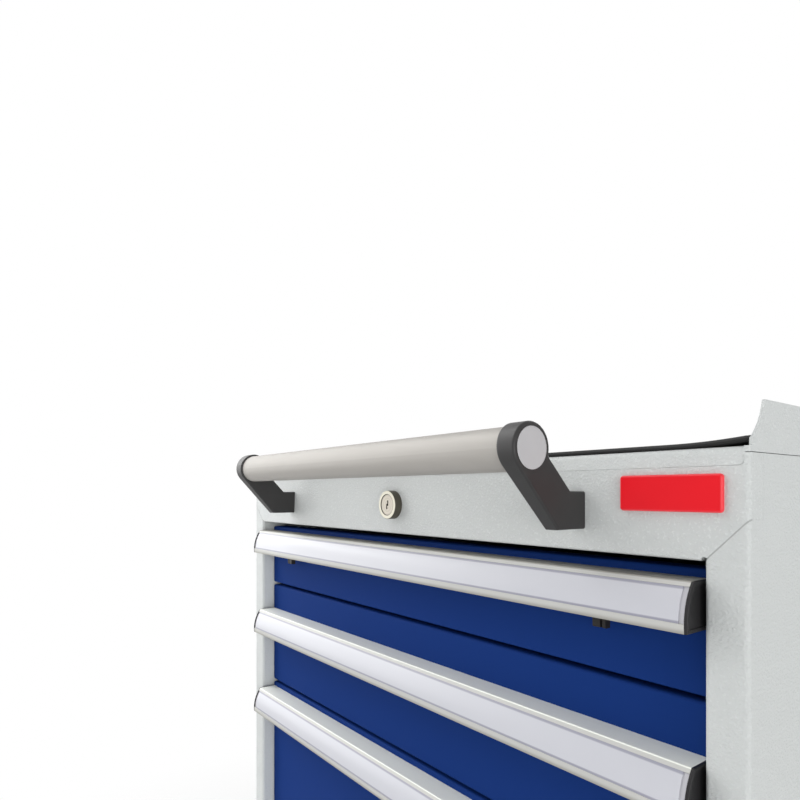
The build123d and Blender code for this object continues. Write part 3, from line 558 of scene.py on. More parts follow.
@dataclass(frozen=True)
class TurnedNickel(Finish):
    """Satin nickel of a turned lock: a bright rim, a dark groove, a duller plug, a dark side and painted
    shade in the keyway.
    """

    rim: Colour
    plug: Colour
    groove: Colour
    side: Colour
    centre: tuple[float, float]
    radius: float
    plug_radius: float
    face: float
    groove_width: float = 0.45 * MM
    ring_pitch: float = 2.6 * MM
    ring_strength: float = 0.35
    ring_share: float = 0.6
    side_depth: float = 0.4 * MM
    fade: float = 0.1 * MM
    # The painted shade in the keyway: the depth over which it darkens, and how dark it gets.
    keyway_shade_band: Band = (0.02 * MM, 0.12 * MM)
    keyway_shade_share: float = 0.3
    turning_size: float = 0.4 * MM
    turning_gloss: float = 0.12
    turning_strength: float = 0.2
    turning_depth: float = 0.02 * MM
    metal: float = 0.25
    roughness: float = 0.45
    gloss: float = 0.2

    def draw(self, sheet: Sheet) -> None:
        """Draw the rim, the groove, faint rings and the side by their distance from the lock's axis, and
        painted shade in the keyway by its depth.

        Args:
            sheet: The material's sheet.
        """
        x, y, z = sheet.axes()
        across, up = x - self.centre[0], z - self.centre[1]
        distance = (across * across + up * up).math("SQRT")
        turning = sheet.noise(self.turning_size)
        rings = (distance * (math.tau / self.ring_pitch)).math("SINE") * 0.5 + 0.5
        plug = sheet.blend(rings * self.ring_strength, self.plug, shaded(self.plug, self.ring_share))
        # Painted shade in the keyway, darker the deeper it lies behind the face.
        keyway = (y - self.face).eased(*self.keyway_shade_band)
        plug = sheet.blend(keyway, plug, shaded(self.groove, self.keyway_shade_share))
        face = sheet.blend(distance.eased(self.plug_radius - self.fade, self.plug_radius), plug, self.rim)
        cut = 1 - abs(distance - self.plug_radius).eased(self.fade, self.groove_width)
        dull = distance.eased(self.radius - self.side_depth, self.radius - self.side_depth / 2)
        sheet.shader({
            "Base Color": sheet.blend(dull, sheet.blend(cut, face, self.groove), self.side),
            "Metallic": self.metal,
            "Roughness": turning * self.turning_gloss + self.roughness,
            "Normal": sheet.bump(turning, self.turning_strength, self.turning_depth),
            "Specular IOR Level": self.gloss,
        })


@dataclass(frozen=True)
class DomedResin(Finish):
    """Coloured badge under a clear dome, with a painted highlight along its edge."""

    colour: Colour
    # The colour of the painted highlight along the edge.
    edge_highlight: Colour
    low: Corner
    high: Corner
    border_width: float = 1.4 * MM
    wave_size: float = 14 * MM
    wave_strength: float = 0.2
    wave_depth: float = 0.2 * MM
    speck_size: float = 0.7 * MM
    speck_gloss: float = 0.1
    roughness: float = 0.26
    gloss: float = 0.2

    def draw(self, sheet: Sheet) -> None:
        """Draw the painted highlight along the edge and the slow waves of the dome.

        Args:
            sheet: The material's sheet.
        """
        x, _, z = sheet.axes()
        half_width, middle_x = span(self.low, self.high, 0)
        half_height, middle_z = span(self.low, self.high, 2)
        from_end, from_edge = half_width - abs(x - middle_x), half_height - abs(z - middle_z)
        # Painted highlight along the edge of the dome.
        inside = from_edge.math("MINIMUM", from_end).eased(self.border_width * 0.5, self.border_width)
        waves = sheet.noise(self.wave_size, 1.0)
        speck = sheet.noise(self.speck_size)
        sheet.shader({
            "Base Color": sheet.blend(inside, self.edge_highlight, self.colour),
            "Roughness": speck * self.speck_gloss + self.roughness,
            "Normal": sheet.bump(waves, self.wave_strength, self.wave_depth),
            "Specular IOR Level": self.gloss,
        })


# The light grey has painted highlights on its bump crests and painted glints.
BODY_GREY = PowderCoat(
    "light_grey_powder_coat", (0.635, 0.655, 0.647),
    bump_size=1.6 * MM, relief=0.75 * MM, strength=1.0, bump_highlight=0.28,
)
FRONT_BLUE = PowderCoat(
    "royal_blue_powder_coat", (0.009, 0.037, 0.188),
    bump_size=1.6 * MM, relief=0.08 * MM, strength=0.35, roughness=0.6, gloss=0.03, glint_share=0.0,
)
TRAY_GREY = PowderCoat(
    "tray_grey_powder_coat", (0.5, 0.525, 0.52),
    bump_size=1.2 * MM, relief=0.06 * MM, strength=0.3, roughness=0.5, gloss=0.25, glint_share=0.0,
)
TUBE_ALUMINIUM = Anodised(
    "drawn_tube_aluminium", (0.385, 0.367, 0.342), metal=0.25, roughness=0.55, gloss=0.25
)
CHARCOAL = Moulded("charcoal_plastic", (0.032, 0.031, 0.031), gloss=0.28)
CAP_BLACK = Moulded("black_cap_plastic", (0.017, 0.0165, 0.0175), gloss=0.25)
CLIP_PLASTIC = Moulded("clip_plastic", (0.020, 0.018, 0.017), gloss=0.2)
CAP_GREY = Moulded("light_grey_cap_plastic", (0.5, 0.495, 0.505), roughness=0.5, blotch_share=0.03)
MAT_RUBBER = Moulded(
    "mat_rubber", (0.036, 0.036, 0.036), grain_size=0.8 * MM, relief=0.08 * MM, roughness=0.65, gloss=0.2
)
TYRE_RUBBER = Moulded(
    "tyre_rubber", (0.055, 0.055, 0.058), grain_size=0.9 * MM, relief=0.06 * MM, roughness=0.62
)
HUB_PLASTIC = Moulded(
    "hub_plastic", (0.36, 0.365, 0.37),
    grain_size=0.6 * MM, relief=0.03 * MM, roughness=0.4, blotch_share=0.05,
)
PEDAL_PLASTIC = Moulded(
    "pedal_plastic", (0.02, 0.02, 0.021), grain_size=0.7 * MM, relief=0.06 * MM, roughness=0.5
)
ZINC = Plated("bright_zinc", (0.62, 0.625, 0.61))


def dress(finish: Finish, *nodes: str) -> None:
    """Give carried-over nodes a finish.

    Args:
        finish: The finish.
        nodes: Names of the frame's nodes.
    """
    for node in nodes:
        for slot in frame["nodes"][node].material_slots:
            slot.material = finish.material()
        log.info("dressed %s in %s", node, finish.name)


def add_piece(
    name: str, mesh: bpy.types.Mesh, finish: Finish, body: str, replaced: Sequence[str] = ()
) -> None:
    """Put a finished mesh into the scene as a piece of the object.

    Args:
        name: The piece's name.
        mesh: Its mesh, placed in the frame.
        finish: Its finish.
        body: The body that it moves with.
        replaced: Nodes that it stands for.
    """
    mesh.materials.clear()
    mesh.materials.append(finish.material())
    mesh.polygons.foreach_set("use_smooth", [True] * len(mesh.polygons))
    mesh.set_sharp_from_angle(angle=SHARP_ANGLE)
    piece = bpy.data.objects.new(name, mesh)
    bpy.context.scene.collection.objects.link(piece)
    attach(piece, body)
    if replaced:
        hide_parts(*replaced)
    log.info("piece %s: %d faces on %s", name, len(mesh.polygons), body)


def mesh_from(name: str, points: Points, faces: Points) -> bpy.types.Mesh:
    """A mesh with its doubles merged and its faces pointing outwards.

    Args:
        name: The mesh's name.
        points: Its corners.
        faces: Corner numbers of each face.

    Returns:
        The mesh.
    """
    mesh = bpy.data.meshes.new(name)
    mesh.from_pydata([tuple(p) for p in points], [], faces)
    shape = bmesh.new()
    shape.from_mesh(mesh)
    bmesh.ops.remove_doubles(shape, verts=shape.verts, dist=MERGE_DISTANCE)
    bmesh.ops.recalc_face_normals(shape, faces=shape.faces)
    shape.to_mesh(mesh)
    shape.free()
    return mesh


def ring_faces(rings: int, count: int, closed: bool) -> list[tuple[int, ...]]:
    """The faces between neighbouring rings of points.

    Args:
        rings: How many rings there are.
        count: The points in each ring.
        closed: True where the last ring meets the first.

    Returns:
        Corner numbers of each face.
    """
    faces = []
    for ring in range(rings if closed else rings - 1):
        here, there = ring * count, (ring + 1) % rings * count
        for i in range(count):
            j = (i + 1) % count
            faces.append((here + i, here + j, there + j, there + i))
    return faces


def turned(name: str, profile: Points, centre: Vector, segments: int = 96) -> bpy.types.Mesh:
    """A closed profile turned about a line along X.

    Args:
        name: The mesh's name.
        profile: Pairs of a place along the line and a radius, all round the profile.
        centre: The middle of the line.
        segments: Steps round the line.

    Returns:
        The turned mesh.
    """
    points = []
    for step in range(segments):
        angle = math.tau * step / segments
        turn = Vector((0.0, math.cos(angle), math.sin(angle)))
        points += [centre + Vector((along, 0.0, 0.0)) + turn * radius for along, radius in profile]
    return mesh_from(name, points, ring_faces(segments, len(profile), closed=True))


def rounded_corner(
    corner: Sequence[float], radius: float, start: float, steps: int = 6
) -> list[tuple[float, float]]:
    """Points round a quarter circle.

    Args:
        corner: The middle of the circle.
        radius: Its radius.
        start: The angle of its first point, in degrees.
        steps: How many parts the quarter has.

    Returns:
        The points.
    """
    angles = [math.radians(start + 90 * i / steps) for i in range(steps + 1)]
    return [(corner[0] + radius * math.cos(a), corner[1] + radius * math.sin(a)) for a in angles]


def bar(name: str, low: Vector, high: Vector, edge: float) -> bpy.types.Mesh:
    """A straight bar with eased edges between two corners.

    Args:
        name: The mesh's name.
        low: Its lowest corner.
        high: Its highest corner.
        edge: The width of the eased edges.

    Returns:
        The bar.
    """
    shape = bmesh.new()
    bmesh.ops.create_cube(shape, size=1.0)
    bmesh.ops.scale(shape, vec=high - low, verts=shape.verts)
    bmesh.ops.translate(shape, vec=(low + high) / 2, verts=shape.verts)
    bmesh.ops.bevel(shape, geom=shape.edges, offset=edge, segments=2, profile=0.5, affect="EDGES")
    mesh = bpy.data.meshes.new(name)
    shape.to_mesh(mesh)
    shape.free()
    return mesh


class Pattern:
    """A Geometry Nodes tree with named inputs that repeats a shape."""

    SOCKETS = {float: "NodeSocketFloat", int: "NodeSocketInt", tuple: "NodeSocketVector"}

    def __init__(self, name: str, inputs: dict[str, type]) -> None:
        """Make the tree, with a geometry and a material as its first and last inputs.

        Args:
            name: The tree's name.
            inputs: The other inputs' labels and types.
        """
        tree = bpy.data.node_groups.new(name, "GeometryNodeTree")
        self.keys = {}
        for label, kind in (("Geometry", None), *inputs.items(), ("Material", None)):
            typed = {"Geometry": "NodeSocketGeometry", "Material": "NodeSocketMaterial"}.get(label)
            socket = tree.interface.new_socket(label, socket_type=typed or self.SOCKETS[kind])
            self.keys[label] = socket.identifier
        tree.interface.new_socket("Geometry", in_out="OUTPUT", socket_type="NodeSocketGeometry")
        self.sheet = Sheet(tree)
        self.inputs = self.sheet.add("NodeGroupInput").outputs

    def out(
        self, kind: str, settings: dict | None = None, sockets: dict | None = None
    ) -> bpy.types.NodeSocket:
        """Add a node and take its first output."""
        return self.sheet.add(kind, settings, sockets).outputs[0]

    def number(self, label: str) -> Value:
        """A named input as a number."""
        return Value(self.sheet, self.inputs[label])

    def joined(self, *shapes: bpy.types.NodeSocket) -> bpy.types.NodeSocket:
        """Several geometries as one.

        Args:
            shapes: The geometries.

        Returns:
            The joined geometry.
        """
        node = self.sheet.add("GeometryNodeJoinGeometry")
        for shape in shapes:
            self.sheet.tree.links.new(shape, node.inputs[0])
        return node.outputs[0]

    def raised(self, shape: bpy.types.NodeSocket, height: Value) -> bpy.types.NodeSocket:
        """A geometry moved up by a height."""
        up = self.out("ShaderNodeCombineXYZ", None, {"Z": height})
        return self.out("GeometryNodeTransform", None, {"Geometry": shape, "Translation": up})

    def row(self) -> bpy.types.NodeSocket:
        """A row of points by the tree's own inputs Count and Step."""
        sockets = {"Count": self.inputs["Count"], "Offset": self.inputs["Step"]}
        return self.out("GeometryNodeMeshLine", None, sockets)

    def close(self, **copies: bpy.types.NodeSocket) -> None:
        """End the tree: set a shape on every point, make the copies real and give them the material.

        Args:
            copies: Points and Instance, and Rotation where the copies are turned.
        """
        real = self.out("GeometryNodeInstanceOnPoints", None, copies)
        real = self.out("GeometryNodeRealizeInstances", None, {"Geometry": real})
        sockets = {"Geometry": real, "Material": self.inputs["Material"]}
        self.sheet.add("NodeGroupOutput", None, {0: self.out("GeometryNodeSetMaterial", None, sockets)})

    def run(
        self, name: str, source: bpy.types.Mesh, finish: Finish, **values: float | int | tuple
    ) -> bpy.types.Mesh:
        """Work the tree on a mesh.

        Args:
            name: The new mesh's name.
            source: The mesh that the tree starts from.
            finish: The finish of the result.
            values: The named inputs, with _ for a space.

        Returns:
            The result as a plain mesh.
        """
        carrier = bpy.data.objects.new(name, source)
        bpy.context.scene.collection.objects.link(carrier)
        modifier = carrier.modifiers.new(name, "NODES")
        modifier.node_group = self.sheet.tree
        modifier[self.keys["Material"]] = finish.material()
        for label, value in values.items():
            modifier[self.keys[label.replace("_", " ").title()]] = value
        graph = bpy.context.evaluated_depsgraph_get()
        mesh = bpy.data.meshes.new_from_object(carrier.evaluated_get(graph), depsgraph=graph)
        carrier.modifiers.remove(modifier)
        bpy.data.objects.remove(carrier)
        mesh.name = name
        return mesh


class Head(Enum):
    """The kinds of fastener head."""

    HEX = "hex"
    DOME = "dome"


def heads_pattern(head: Head) -> Pattern:
    """A tree that sets a fastener head on every point of a mesh.

    Args:
        head: The kind of head.

    Returns:
        The tree, with inputs Width, Height and Axis.
    """
    tree = Pattern(f"{head.value}_heads", {"Width": float, "Height": float, "Axis": tuple})
    width, height = tree.number("Width"), tree.number("Height")
    if head is Head.HEX:
        prism_share, crown_share, washer_share = 0.9, 0.1, 0.3
        crown_top_share, washer_radius_share = 0.42, 0.92
        corner = width * (0.5 / math.cos(math.pi / 6))
        sockets = {"Vertices": 6, "Radius": corner, "Depth": height * prism_share}
        prism = tree.out("GeometryNodeMeshCylinder", None, sockets)
        sockets = {"Vertices": 24, "Radius Bottom": width * 0.5, "Radius Top": width * crown_top_share}
        crown = tree.out("GeometryNodeMeshCone", None, sockets | {"Depth": height * crown_share})
        crown = tree.raised(crown, height * (prism_share / 2))
        sockets = {"Vertices": 32, "Radius": width * washer_radius_share, "Depth": height * washer_share}
        washer = tree.out("GeometryNodeMeshCylinder", None, sockets)
        washer = tree.raised(washer, height * (washer_share / 2 - 0.5))
        shape = tree.raised(tree.joined(prism, crown, washer), height * 0.5)
    else:
        sockets = {"Segments": 20, "Rings": 10, "Radius": width * 0.5}
        ball = tree.out("GeometryNodeMeshUVSphere", None, sockets)
        flat = tree.out("ShaderNodeCombineXYZ", None, {"X": 1.0, "Y": 1.0, "Z": height / (width * 0.5)})
        shape = tree.out("GeometryNodeTransform", None, {"Geometry": ball, "Scale": flat})
    sockets = {"Vector": tree.inputs["Axis"]}
    facing = tree.out("FunctionNodeAlignRotationToVector", {"axis": "Z"}, sockets)
    tree.close(Points=tree.inputs["Geometry"], Instance=shape, Rotation=facing)
    return tree


def repeat_pattern() -> Pattern:
    """A tree that repeats a mesh by a step and a turn about the frame's own axes.

    Returns:
        The tree, with inputs Count, Step and Turn.
    """
    tree = Pattern("repeated_ribs", {"Count": int, "Step": tuple, "Turn": tuple})
    index = tree.out("GeometryNodeInputIndex")
    turn = tree.out("ShaderNodeVectorMath", {"operation": "SCALE"}, {0: tree.inputs["Turn"], "Scale": index})
    tree.close(Points=tree.row(), Instance=tree.inputs["Geometry"], Rotation=turn)
    return tree


def path_ribs_pattern() -> Pattern:
    """A tree that lays round ribs along a drawn path, side by side along Y.

    Returns:
        The tree, with inputs Count, Step and Radius.
    """
    tree = Pattern("mat_ribs", {"Count": int, "Step": tuple, "Radius": float})
    path = tree.out("GeometryNodeMeshToCurve", None, {"Mesh": tree.inputs["Geometry"]})
    sockets = {"Resolution": 6, "Radius": tree.inputs["Radius"]}
    ring = tree.out("GeometryNodeCurvePrimitiveCircle", None, sockets)
    rib = tree.out("GeometryNodeCurveToMesh", None, {"Curve": path, "Profile Curve": ring, "Fill Caps": True})
    tree.close(Points=tree.row(), Instance=rib)
    return tree


@dataclass
class Patterns:
    """The trees that the sub-assemblies share."""

    hex_heads: Pattern
    dome_heads: Pattern
    repeat: Pattern
    path_ribs: Pattern

    @classmethod
    def make(cls) -> "Patterns":
        """Build every tree once."""
        return cls(heads_pattern(Head.HEX), heads_pattern(Head.DOME), repeat_pattern(), path_ribs_pattern())


def joined_mesh(name: str, *meshes: bpy.types.Mesh) -> bpy.types.Mesh:
    """Several meshes as one.

    Args:
        name: The new mesh's name.
        meshes: The meshes, which are used up.

    Returns:
        The joined mesh.
    """
    shape = bmesh.new()
    for mesh in meshes:
        shape.from_mesh(mesh)
        bpy.data.meshes.remove(mesh)
    made = bpy.data.meshes.new(name)
    shape.to_mesh(made)
    shape.free()
    return made


def points_mesh(name: str, points: Points, edges: Points = ()) -> bpy.types.Mesh:
    """A mesh of bare points or of a path, for a tree to start from.

    Args:
        name: The mesh's name.
        points: Its points.
        edges: Pairs of point numbers along a path.

    Returns:
        The mesh.
    """
    mesh = bpy.data.meshes.new(name)
    mesh.from_pydata([tuple(p) for p in points], edges, [])
    return mesh


@dataclass
class Assembly:
    """A part of the cabinet; each kind makes its small pieces and dresses the nodes it is made of."""

    patterns: Patterns

    def build(self) -> None:
        """Make the pieces that the frame doesn't carry."""

    def dress(self) -> None:
        """Give the carried-over nodes their finishes."""


@dataclass
class Shell(Assembly):
    """The grey body: side panels, rail, base, back and deck, with the rivets of the back panel."""

    rivet_width: float = 8 * MM
    rivet_height: float = 1.5 * MM
    rivet_inset: float = 9 * MM
    rivet_end: float = 27 * MM
    rivet_count: int = 7
    # Less painted highlight and fewer painted glints on the posts.
    post_bump_highlight: float = 0.12
    post_glint_share: float = 0.25

    def build(self) -> None:
        """Set a row of rivets down each edge of the back panel."""
        low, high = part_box("back_panel")
        first, last = low.z + self.rivet_end, high.z - self.rivet_end
        heights = [first + (last - first) * i / (self.rivet_count - 1) for i in range(self.rivet_count)]
        edges = (low.x + self.rivet_inset, high.x - self.rivet_inset)
        source = points_mesh("rivet_places", [(x, high.y, z) for x in edges for z in heights])
        mesh = self.patterns.dome_heads.run(
            "back_rivets", source, ZINC,
            width=self.rivet_width, height=self.rivet_height, axis=(0.0, 1.0, 0.0),
        )
        add_piece("back_panel_rivets", mesh, ZINC, "cabinet")

    def dress(self) -> None:
        """Powder-coat the sheet metal, with the mitred joint drawn on the rail and the posts."""
        dress(BODY_GREY, "base_pan", "back_panel", "top_deck")
        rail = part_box("top_rail")[0]
        mitre = Mitre((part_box("right_side_panel")[0].x, rail.z), rail.y)
        dress(replace(BODY_GREY, name="rail_grey_powder_coat", mitre=mitre), "top_rail")
        # The posts' finish: the mitre line, with less painted highlight and fewer painted glints.
        posts = replace(
            BODY_GREY, name="post_grey_powder_coat", mitre=mitre,
            bump_highlight=self.post_bump_highlight, glint_share=self.post_glint_share,
        )
        dress(posts, "left_side_panel", "right_side_panel")


@dataclass
class DeckMat(Assembly):
    """The rubber mat on the deck: fine ribs across it, side edges that curl up."""

    thickness: float = 3 * MM
    corner: float = 1 * MM
    nose: float = 1.4 * MM
    curl_run: float = 45 * MM
    curl_steps: int = 12
    rib_pitch: float = 3 * MM
    rib_radius: float = 0.6 * MM
    first_rib: int = 2
    ribs_left_out: int = 3
    eased_share: float = 0.3
    nose_shares: Points = ((0.0, 0.45, 0.55), (0.3, 0.15, 0.4), (0.8, 0.0, 0.2), (1.7, 0.0, 0.0))
    tail_shares: Points = ((0.5, 0.0, 0.0), (0.0, 0.2, 0.2))

    def lift(self, x: float, half: float, rise: float) -> float:
        """How far the mat stands off the deck at a place across it."""
        share = max(0.0, (abs(x) - half + self.curl_run) / self.curl_run)
        return rise * share**2

    def section(self, low: Vector, high: Vector) -> list[Corner]:
        """The mat's cross-section, from its left edge to its right edge.

        Args:
            low: The mat's lowest corner.
            high: The mat's highest corner.

        Returns:
            For each point its place across, its mid height and half the thickness there.
        """
        half, middle, eased = high.x, self.thickness / 2, self.eased_share * self.corner
        rise = high.z - low.z - self.thickness
        step = (self.curl_run - self.corner) / self.curl_steps
        inner = [(half - self.curl_run + step * i, middle) for i in range(self.curl_steps + 1)]
        inner += [(half - eased, middle - eased), (half, middle - self.corner)]
        across = [(-x, reach) for x, reach in reversed(inner)] + inner
        return [(x, low.z + self.lift(x, half, rise) + middle, reach) for x, reach in across]

    def slab(self, section: list[Corner], front: float, rear: float) -> bpy.types.Mesh:
        """The mat without its ribs, thinner at its nose and its tail.

        Args:
            section: The mat's cross-section.
            front: Where the nose starts.
            rear: Where the tail ends.

        Returns:
            The slab's mesh.
        """
        middle = self.thickness / 2
        outline = [(x, z, -reach) for x, z, reach in section]
        outline += [(x, z, reach) for x, z, reach in reversed(section)]
        rings = [(front + along * self.nose, above, below) for along, above, below in self.nose_shares]
        rings += [(rear - along * self.nose, above, below) for along, above, below in self.tail_shares]
        points = []
        for y, above, below in rings:
            top, bottom = middle - above * self.thickness, below * self.thickness - middle
            points += [(x, y, z + min(max(reach, bottom), top)) for x, z, reach in outline]
        count = len(outline)
        faces = ring_faces(len(rings), count, closed=False)
        for end in (0, (len(rings) - 1) * count):
            for i in range(len(section) - 1):
                faces.append((end + i, end + i + 1, end + count - 2 - i, end + count - 1 - i))
        return mesh_from("mat_slab", points, faces)

    def build(self) -> None:
        """Make the mat's slab and lay the ribs over it."""
        low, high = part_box("rubber_mat")
        section = self.section(low, high)
        slab = self.slab(section, low.y, high.y)
        first, middle = low.y + self.first_rib * self.rib_pitch, self.thickness / 2
        path = [(x, first, z + middle) for x, z, reach in section if reach == middle]
        source = points_mesh("mat_path", path, [(i, i + 1) for i in range(len(path) - 1)])
        ribs = self.patterns.path_ribs.run(
            "mat_ribs", source, MAT_RUBBER,
            count=int((high.y - low.y) / self.rib_pitch) - self.ribs_left_out,
            step=(0.0, self.rib_pitch, 0.0), radius=self.rib_radius,
        )
        mesh = joined_mesh("ribbed_mat", slab, ribs)
        add_piece("ribbed_rubber_mat", mesh, MAT_RUBBER, "cabinet", ["rubber_mat"])


@dataclass
class PushHandle(Assembly):
    """The push handle and its two brackets."""

    def dress(self) -> None:
        """Give the tube, the brackets and the end caps their finishes."""
        dress(TUBE_ALUMINIUM, "handle_tube")
        dress(CHARCOAL, "handle_brackets")
        dress(CAP_GREY, "handle_end_caps")


@dataclass
class LockAndBadge(Assembly):
    """The cylinder lock with its rear bar, and the bare badge."""

    nickel_rim: Colour = (0.72, 0.69, 0.58)
    nickel_plug: Colour = (0.62, 0.57, 0.49)
    nickel_groove: Colour = (0.05, 0.045, 0.032)
    dull_side: Colour = (0.085, 0.078, 0.062)
    head_radius: float = 12.8 * MM
    plug_radius: float = 9.4 * MM
    badge_red: Colour = (0.86, 0.010, 0.020)
    # The badge's red, and the colour of the painted highlight along its edge.
    badge_edge_highlight: Colour = (0.88, 0.05, 0.065)

    def dress(self) -> None:
        """Plate the lock and colour the badge."""
        low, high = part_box("lock_case")
        middle = (low + high) / 2
        centre = (middle.x, middle.z)
        nickel = TurnedNickel(
            "turned_nickel", self.nickel_rim, self.nickel_plug, self.nickel_groove, self.dull_side, centre,
            self.head_radius, self.plug_radius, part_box("lock_plug")[0].y,
        )
        dress(nickel, "lock_case", "lock_plug")
        dress(ZINC, "lock_bar")
        low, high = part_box("badge")
        resin = DomedResin("red_domed_badge", self.badge_red, self.badge_edge_highlight, tuple(low), tuple(high))
        dress(resin, "badge")


@dataclass
class Drawer(Assembly):
    """One drawer: front, tray, grip with its label, caps and clips, and the runners."""

    number: int
    label_white: Colour = (0.595, 0.60, 0.645)
    # The colour of the painted shade along the label's long edges.
    label_groove_shade: Colour = (0.34, 0.34, 0.41)
    # The grips' flat tops: painted light, and for grip 1 the painted shadow of the rail above it.
    painted_light_top: Colour = (0.9, 0.915, 0.85)
    painted_shadow_top: Colour = (0.33, 0.325, 0.295)

    def dress(self) -> None:
        """Give every node of the drawer its finish."""
        name = f"drawer_{self.number}"
        dress(FRONT_BLUE, f"{name}_front")
        dress(TRAY_GREY, f"{name}_tray")
        low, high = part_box(f"{name}_grip")
        label_low, label_high = (tuple(corner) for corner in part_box(f"{name}_label"))
        # Grip 1's flat top gets the painted shadow of the rail; the others get painted light.
        grip_top_colour = self.painted_shadow_top if self.number == 1 else self.painted_light_top
        profile = GripAluminium(
            f"grip_aluminium_{self.number}", grip_top_colour, metal=0.08, roughness=0.5, gloss=0.3,
            bottom=low.z, top=high.z, label_low=label_low, label_high=label_high,
        )
        dress(profile, f"{name}_grip")
        dress(CAP_BLACK, f"{name}_grip_caps")
        dress(CLIP_PLASTIC, f"{name}_clips")
        dress(ZINC, f"{name}_runners", f"{name}_middle_runners")
        paper = LabelPaper(
            f"label_paper_{self.number}", self.label_white, self.label_groove_shade, label_low, label_high
        )
        dress(paper, f"{name}_label")


@dataclass
class Wheel(Assembly):
    """One castor wheel: a rubber tyre on a ribbed plastic hub."""

    node: str
    body: str
    tread_depth: float = 12 * MM
    tread_round: float = 6 * MM
    tread_crown: float = 0.4 * MM
    rim_wall: float = 5.5 * MM
    web: float = 8 * MM
    hub_radius: float = 18 * MM
    bore_radius: float = 6.1 * MM
    tyre_half: float = 16 * MM
    rib_count: int = 8
    rib_thickness: float = 3 * MM
    rib_half: float = 11.5 * MM
    edge: float = 0.8 * MM

    def tyre(self, centre: Vector, radius: float) -> bpy.types.Mesh:
        """The tyre: rounded shoulders and a slightly crowned tread.

        Args:
            centre: The wheel's middle.
            radius: The wheel's outer radius.

        Returns:
            The tyre's mesh.
        """
        half, corner = self.tyre_half, self.tread_round
        seat, shoulder = radius - self.tread_depth, radius - self.tread_crown - corner
        profile = [(half, seat), (half, seat + self.edge)]
        profile += rounded_corner((half - corner, shoulder), corner, 0)
        profile += [(0.0, radius)]
        profile += rounded_corner((corner - half, shoulder), corner, 90)
        profile += [(-half, seat + self.edge), (-half, seat)]
        return turned("tyre", profile, centre)

    def hub(self, centre: Vector, radius: float, half_width: float) -> bpy.types.Mesh:
        """The hub: rim, web and boss turned in one, with ribs between them.

        Args:
            centre: The wheel's middle.
            radius: The wheel's outer radius.
            half_width: Half the boss's width.

        Returns:
            The hub's mesh.
        """
        seat = radius - self.tread_depth
        inner = seat - self.rim_wall
        rim_half = self.tyre_half - self.edge
        side = [
            (rim_half, seat), (rim_half, inner + self.edge), (rim_half - self.edge, inner),
            (self.web / 2 + self.edge, inner - 2 * self.edge), (self.web / 2, inner - 4 * self.edge),
            (self.web / 2, self.hub_radius + 2 * self.edge), (self.web / 2 + 2 * self.edge, self.hub_radius),
            (half_width - self.edge, self.hub_radius - self.edge),
            (half_width, self.hub_radius - 3 * self.edge), (half_width, self.bore_radius),
        ]
        profile = side + [(-x, r) for x, r in reversed(side)]
        disc = turned("hub_disc", profile, centre)
        low = Vector((-self.rib_half, -self.rib_thickness / 2, self.hub_radius - 2 * self.edge))
        high = Vector((self.rib_half, self.rib_thickness / 2, inner + self.edge))
        rib = bar("hub_rib", low, high, self.edge)
        ribs = self.patterns.repeat.run(
            "hub_ribs", rib, HUB_PLASTIC, count=self.rib_count, step=(0.0, 0.0, 0.0),
            turn=(math.tau / self.rib_count, 0.0, 0.0),
        )
        for vertex in ribs.vertices:
            vertex.co += centre
        return joined_mesh("hub", disc, ribs)

    def build(self) -> None:
        """Make the tyre and the hub in place of the plain wheel."""
        low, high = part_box(self.node)
        centre, radius = (low + high) / 2, (high.z - low.z) / 2
        stem = self.node.replace("wheel_", "")
        hub = self.hub(centre, radius, (high.x - low.x) / 2)
        tyre = self.tyre(centre, radius)
        add_piece(f"{stem}_tyre", tyre, TYRE_RUBBER, self.body, [self.node])
        add_piece(f"{stem}_hub", hub, HUB_PLASTIC, self.body)


